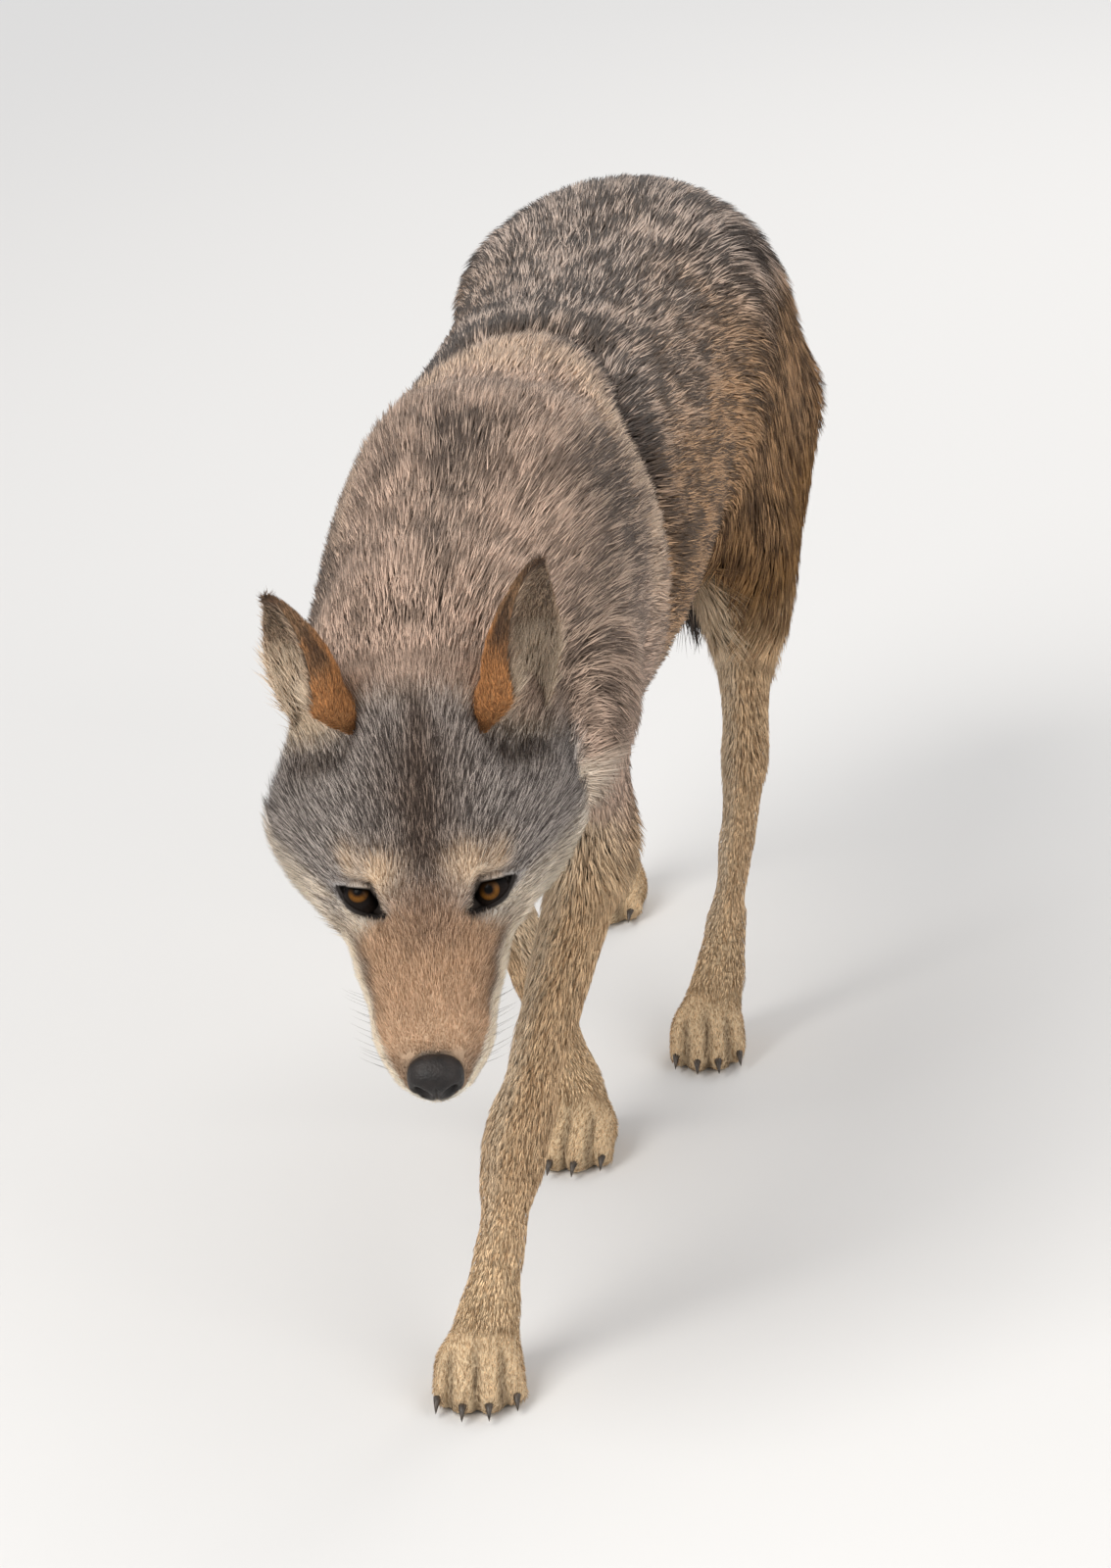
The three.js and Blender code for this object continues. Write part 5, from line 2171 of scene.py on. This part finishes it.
class Wolf:
    """The whole animal."""

    SEED = 20261
    QUICK_SHARE = 0.25
    SHORT_BLOTCH = 0.15
    CUT_ALONG = np.array([0.0, 1.0, 0.15])
    # How low the coat grows, and how near the tail's line and the ears' roots their parts of it are.
    GROUND, TAIL_WIDE, EAR_LONG = 2.5, 80, 150
    # Where the muzzle starts on the head, and where the neck ends and the rump starts along the body.
    MUZZLE, NECK, RUMP = 22, -70, 300
    # How deep the coat of crown and legs is at most, how high the paws' goes, and tufts on 1 cm2 of an ear.
    CROWN_DEEP, LEG_DEEP, PAW_HIGH, EAR_TUFTS = 12.5, 10, 75, 50.0
    RIM = "1c1613"

    def __init__(self) -> None:
        """Starts the random numbers, and makes the coat's materials."""
        self.rng = np.random.default_rng(self.SEED)
        self.coat = Coat(self.rng)
        self.scale = 1.0
        self.fur = FurFinish("coat_fur").make()
        self.short = FurFinish("coat_short", 0.65, 0.3).make()

    def build(self) -> None:
        """Makes skin, coat, eyes, nose, claws and whiskers."""
        skin = Skin(SkinSizes()).build()
        ears = [Ear(LEFT, EarSizes(height=101.0, lean=0.17)), Ear(RIGHT, EarSizes())]
        body_count = len(skin.data.vertices)
        shells = [ear.build() for ear in ears]
        of_shell = len(shells[0].data.vertices)
        join([skin, *shells])
        shade_smooth(skin.data)
        self._unwrap(skin)
        index = np.arange(len(skin.data.vertices)) - body_count
        is_ear = index >= 0
        cup = (is_ear & (index % of_shell >= of_shell // 2)).astype(float)
        self._paint_skin(skin, ears, cup, is_ear)
        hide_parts(*Skin.REPLACED)
        finish_piece(skin, SkinFinish().make())
        bed = Bed(skin, cup, is_ear)
        self._grow(bed)
        self._grow_ears(bed, ears)
        amber, horn = EyeFinish().make(), HornFinish().make()
        make_eye(EYES[0], "eyeball_left", amber)
        make_eye(EYES[1], "eyeball_right", amber)
        Nose().make(LeatherFinish().make())
        Claws().make(horn)
        Whiskers().make(horn, self.rng)

    @staticmethod
    def _unwrap(skin: Object) -> None:
        """Unwraps the skin by its own shape.

        Args:
            skin: The skin.
        """
        select([skin])
        while skin.data.uv_layers:
            skin.data.uv_layers.remove(skin.data.uv_layers[0])
        skin.data.uv_layers.new(name="OFBake")
        bpy.ops.object.mode_set(mode="EDIT")
        bpy.ops.mesh.select_all(action="SELECT")
        bpy.ops.uv.smart_project(angle_limit=math.radians(66), island_margin=0.001)
        bpy.ops.object.mode_set(mode="OBJECT")

    @staticmethod
    def _ear_tones(points: Array, ear: Ear, inside: Array) -> HairMix:
        """The hairs on an ear.

        Args:
            points: Places.
            ear: Which ear.
            inside: 1 where the place faces into the cup.

        Returns:
            Their mix.
        """
        q = points - ear.root
        t = (q @ ear.up) / ear.sizes.height
        wide = np.interp(t, *Ear.OUTLINE) * ear.sizes.half_wide
        out = np.clip((q @ HEAD.along((0, 1, 0))) * ear.side / np.maximum(wide, 4), -1, 1)
        rim = np.clip(np.abs(q @ ear.across) / np.maximum(wide, 4), 0, 1)
        wave = 0.3 * (noise(points, 12, 5) - 0.5)
        inward = ramp(out, 0.1, -0.4)
        edge = np.maximum(ramp(t, 0.84, 0.98), ramp(rim, 0.72, 0.9) * inward * ramp(t, 0.35, 0.6))
        rusty = (1 - inside) * ramp(t + wave, 0.72, 0.38) * ramp(out, 0.5, -0.1)
        lobe = inside * ramp(t + wave, 0.42, 0.22) * ramp(out, -0.30, -0.55)
        mix = HairMix(len(points))
        mix.lay(1.0, Tones.EAR_BACK)
        mix.lay(inside, Tones.EAR_INNER)
        mix.lay(inside * ramp(t, 0.45, 0.15) * 0.4, Tones.WHITE)
        mix.lay(rusty, Tones.EAR_RUST)
        mix.lay(lobe * 0.5, Tones.EAR_RUST)
        mix.lay(edge * 0.9, Tones.EAR_EDGE)
        return mix

    @staticmethod
    def _rims(points: Array) -> Array:
        """How dark the rims of the eyes and lips make a place.

        Args:
            points: Places.

        Returns:
            0 to 1 for each.
        """
        rim = np.zeros(len(points))
        for eye in EYES:
            gap, rise, planar = eye.gap(points)
            near = (planar < 22) & ((points - eye.centre()) @ eye.out() > 0)
            inner = ramp((points - eye.centre()) @ eye.slit(), -9, -14)
            wide = np.where(rise > 0, 1.0 + 1.5 * inner, 3.0)
            rim = np.maximum(rim, ramp(gap - wide, 1.0, -0.6) * near)
        f, side, u = HEAD.halved(points)
        lip = bell(u - mouth_line(f), 2.6) * ramp(f, 24, 34) * ramp(f, 150, 128) * ramp(side, 0, 6)
        around_nose = ramp(f, 110, 116) * ramp(u, -46, -36) * bell(side, 16) * 0.8
        return np.clip(np.maximum(rim, np.maximum(lip, around_nose)), 0, 1)

    def _paint_skin(self, skin: Object, ears: list[Ear], cup: Array, is_ear: Array) -> None:
        """Gives the skin the coat's markings, and painted shade where the coat is deep.

        Args:
            skin: The skin.
            ears: The ears.
            cup: For each of the skin's points, 1 in the cup of an ear.
            is_ear: For each, whether it is an ear's.
        """
        points, normals = points_of(skin), normals_of(skin)
        colours = Markings(points, normals).mean()
        for ear in ears:
            mine = is_ear & ear.owns(points) & (np.linalg.norm(points - ear.root, axis=1) < self.EAR_LONG)
            colours[mine] = self._ear_tones(points[mine], ear, cup[mine]).mean()
        # Painted shade: the skin is darker under deep coat, where the hairs over it shade it, and lighter
        # where it is bare.
        colours *= (0.72 + 0.4 * self._bare(points))[:, None]
        rim = self._rims(points)[:, None]
        paint(skin, colours * (1 - rim) + linear(self.RIM) * rim)

    @staticmethod
    def _bare(points: Array) -> Array:
        """Where the coat is so short that the skin's own colour shows."""
        return ramp(FLOW.at(points)[1][:, 0], 12, 4)

    def _grow(self, bed: Bed) -> None:
        """Grows the coat of all but the ears, part by part.

        Args:
            bed: The skin's triangles.
        """
        f, side, u = HEAD.halved(bed.middle)
        _, y, z = bed.middle.T
        depth = FLOW.at(bed.middle)[1][:, 0]
        opening = np.zeros(len(y), dtype=bool)
        for eye in EYES:
            gap, rise, planar = eye.gap(bed.middle)
            opening |= (gap < np.where(rise > 0, 0.7, 3.2)) & (planar < 30)
        nose = (f > 108) & (u > -38) & (side < 19)
        clear = ~opening & ~nose & (z > self.GROUND)
        face = (head_zone(bed.middle) > 0.02) & ~bed.is_ear
        muzzle = face & (f > self.MUZZLE)
        crown = face & ~muzzle & (depth < self.CROWN_DEEP)
        cheeks = face & ~muzzle & ~crown
        body = ~face & ~bed.is_ear
        tail = body & (tail_gap(bed.middle) < self.TAIL_WIDE)
        legs = body & (depth < self.LEG_DEEP) & ~tail
        trunk = body & (depth >= self.LEG_DEEP) & ~tail
        neck, rump = trunk & (y < self.NECK), trunk & (y >= self.RUMP)
        under = 0.62 + 0.38 * ramp(bed.facing[:, 2], -0.75, 0.0)
        for part, mask, density in (
            (Growth("coat_muzzle", straight=True), muzzle, 80),
            (Growth("coat_face", straight=True), crown, 62),
            (Growth("coat_cheeks", clump=0.3), cheeks, 30),
            (Growth("coat_neck", clump=0.32, lock=12, blotch=0.5), neck, 31 * under),
            (Growth("coat_back", Slot.SADDLE, clump=0.36, lock=12), trunk & ~neck & ~rump, 19 * under),
            (Growth("coat_rump", Slot.SADDLE, clump=0.36, lock=12), rump, 17.5 * under),
            (Growth("coat_tail", Slot.SADDLE, lock=14), tail, 19),
            (Growth("coat_legs", Slot.LEG, clump=0.2, lock=6, blotch=0.3), legs, 30 * ramp(z, 42, 66)),
            (Growth("coat_paws", Slot.LEG, straight=True), z < self.PAW_HIGH, 42 * ramp(z, 72, 48)),
        ):
            self._grow_part(bed, part, np.where(mask & clear, density, 0.0))

    def _grow_part(self, bed: Bed, part: Growth, per_cm2: Array) -> None:
        """Grows one part of the coat, in as many pieces as it needs.

        Args:
            bed: The skin's triangles.
            part: How it grows.
            per_cm2: Tufts on a square centimetre of each triangle.
        """
        roots = bed.draw(per_cm2 * self.scale, self.rng)
        order = np.argsort(roots.at @ self.CUT_ALONG)
        pieces = max(1, math.ceil(len(order) / part.most))
        for i, chosen in enumerate(np.array_split(order, pieces)):
            name = f"{part.name}_{i + 1}" if pieces > 1 else part.name
            tufts = self.coat.dress(roots.pick(chosen), self.SHORT_BLOTCH if part.straight else part.blotch)
            if part.straight:
                finish_piece(self.coat.straight(name, tufts), self.short)
            else:
                finish_piece(self.coat.bent(name, tufts, part.clump, part.lock), self.fur)

    def _grow_ears(self, bed: Bed, ears: list[Ear]) -> None:
        """Grows the short fur of the ears, and the longer hair in their cups.

        Args:
            bed: The skin's triangles.
            ears: The ears.
        """
        roots = bed.draw(np.where(bed.ears_out(), self.EAR_TUFTS, 0.0) * self.scale, self.rng)
        for ear in ears:
            own = roots.pick(ear.owns(roots.at))
            inside = own.cup
            q = own.at - ear.root
            way = ear.up + np.sign(q @ ear.across)[:, None] * ear.across * -0.5 * inside[:, None]
            way = way + ear.open * 0.35 * inside[:, None]
            mix = self._ear_tones(own.at, ear, inside)
            tufts = self.coat.dress(own, self.SHORT_BLOTCH, mix, unit(way))
            low = inside * ramp(q @ ear.up, 0.55 * ear.sizes.height, 0.1 * ear.sizes.height)
            tufts.length = (6.5 + 3.0 * inside + 15.0 * low) * self.rng.uniform(0.8, 1.2, len(own.at))
            tufts.lift = (1.8 + 1.5 * inside + 7.0 * low) * self.rng.uniform(0.7, 1.2, len(own.at))
            tufts.wide = self.rng.uniform(0.6, 1.1, len(own.at))
            name = "coat_ear_left" if ear.side == LEFT else "coat_ear_right"
            finish_piece(self.coat.straight(name, tufts), self.short)


def main() -> None:
    """Builds the wolf and its studio."""
    logging.basicConfig(level=logging.INFO, format="%(name)s: %(message)s")
    Wolf().build()
    Studio().build()


if __name__ == "__main__":
    main()
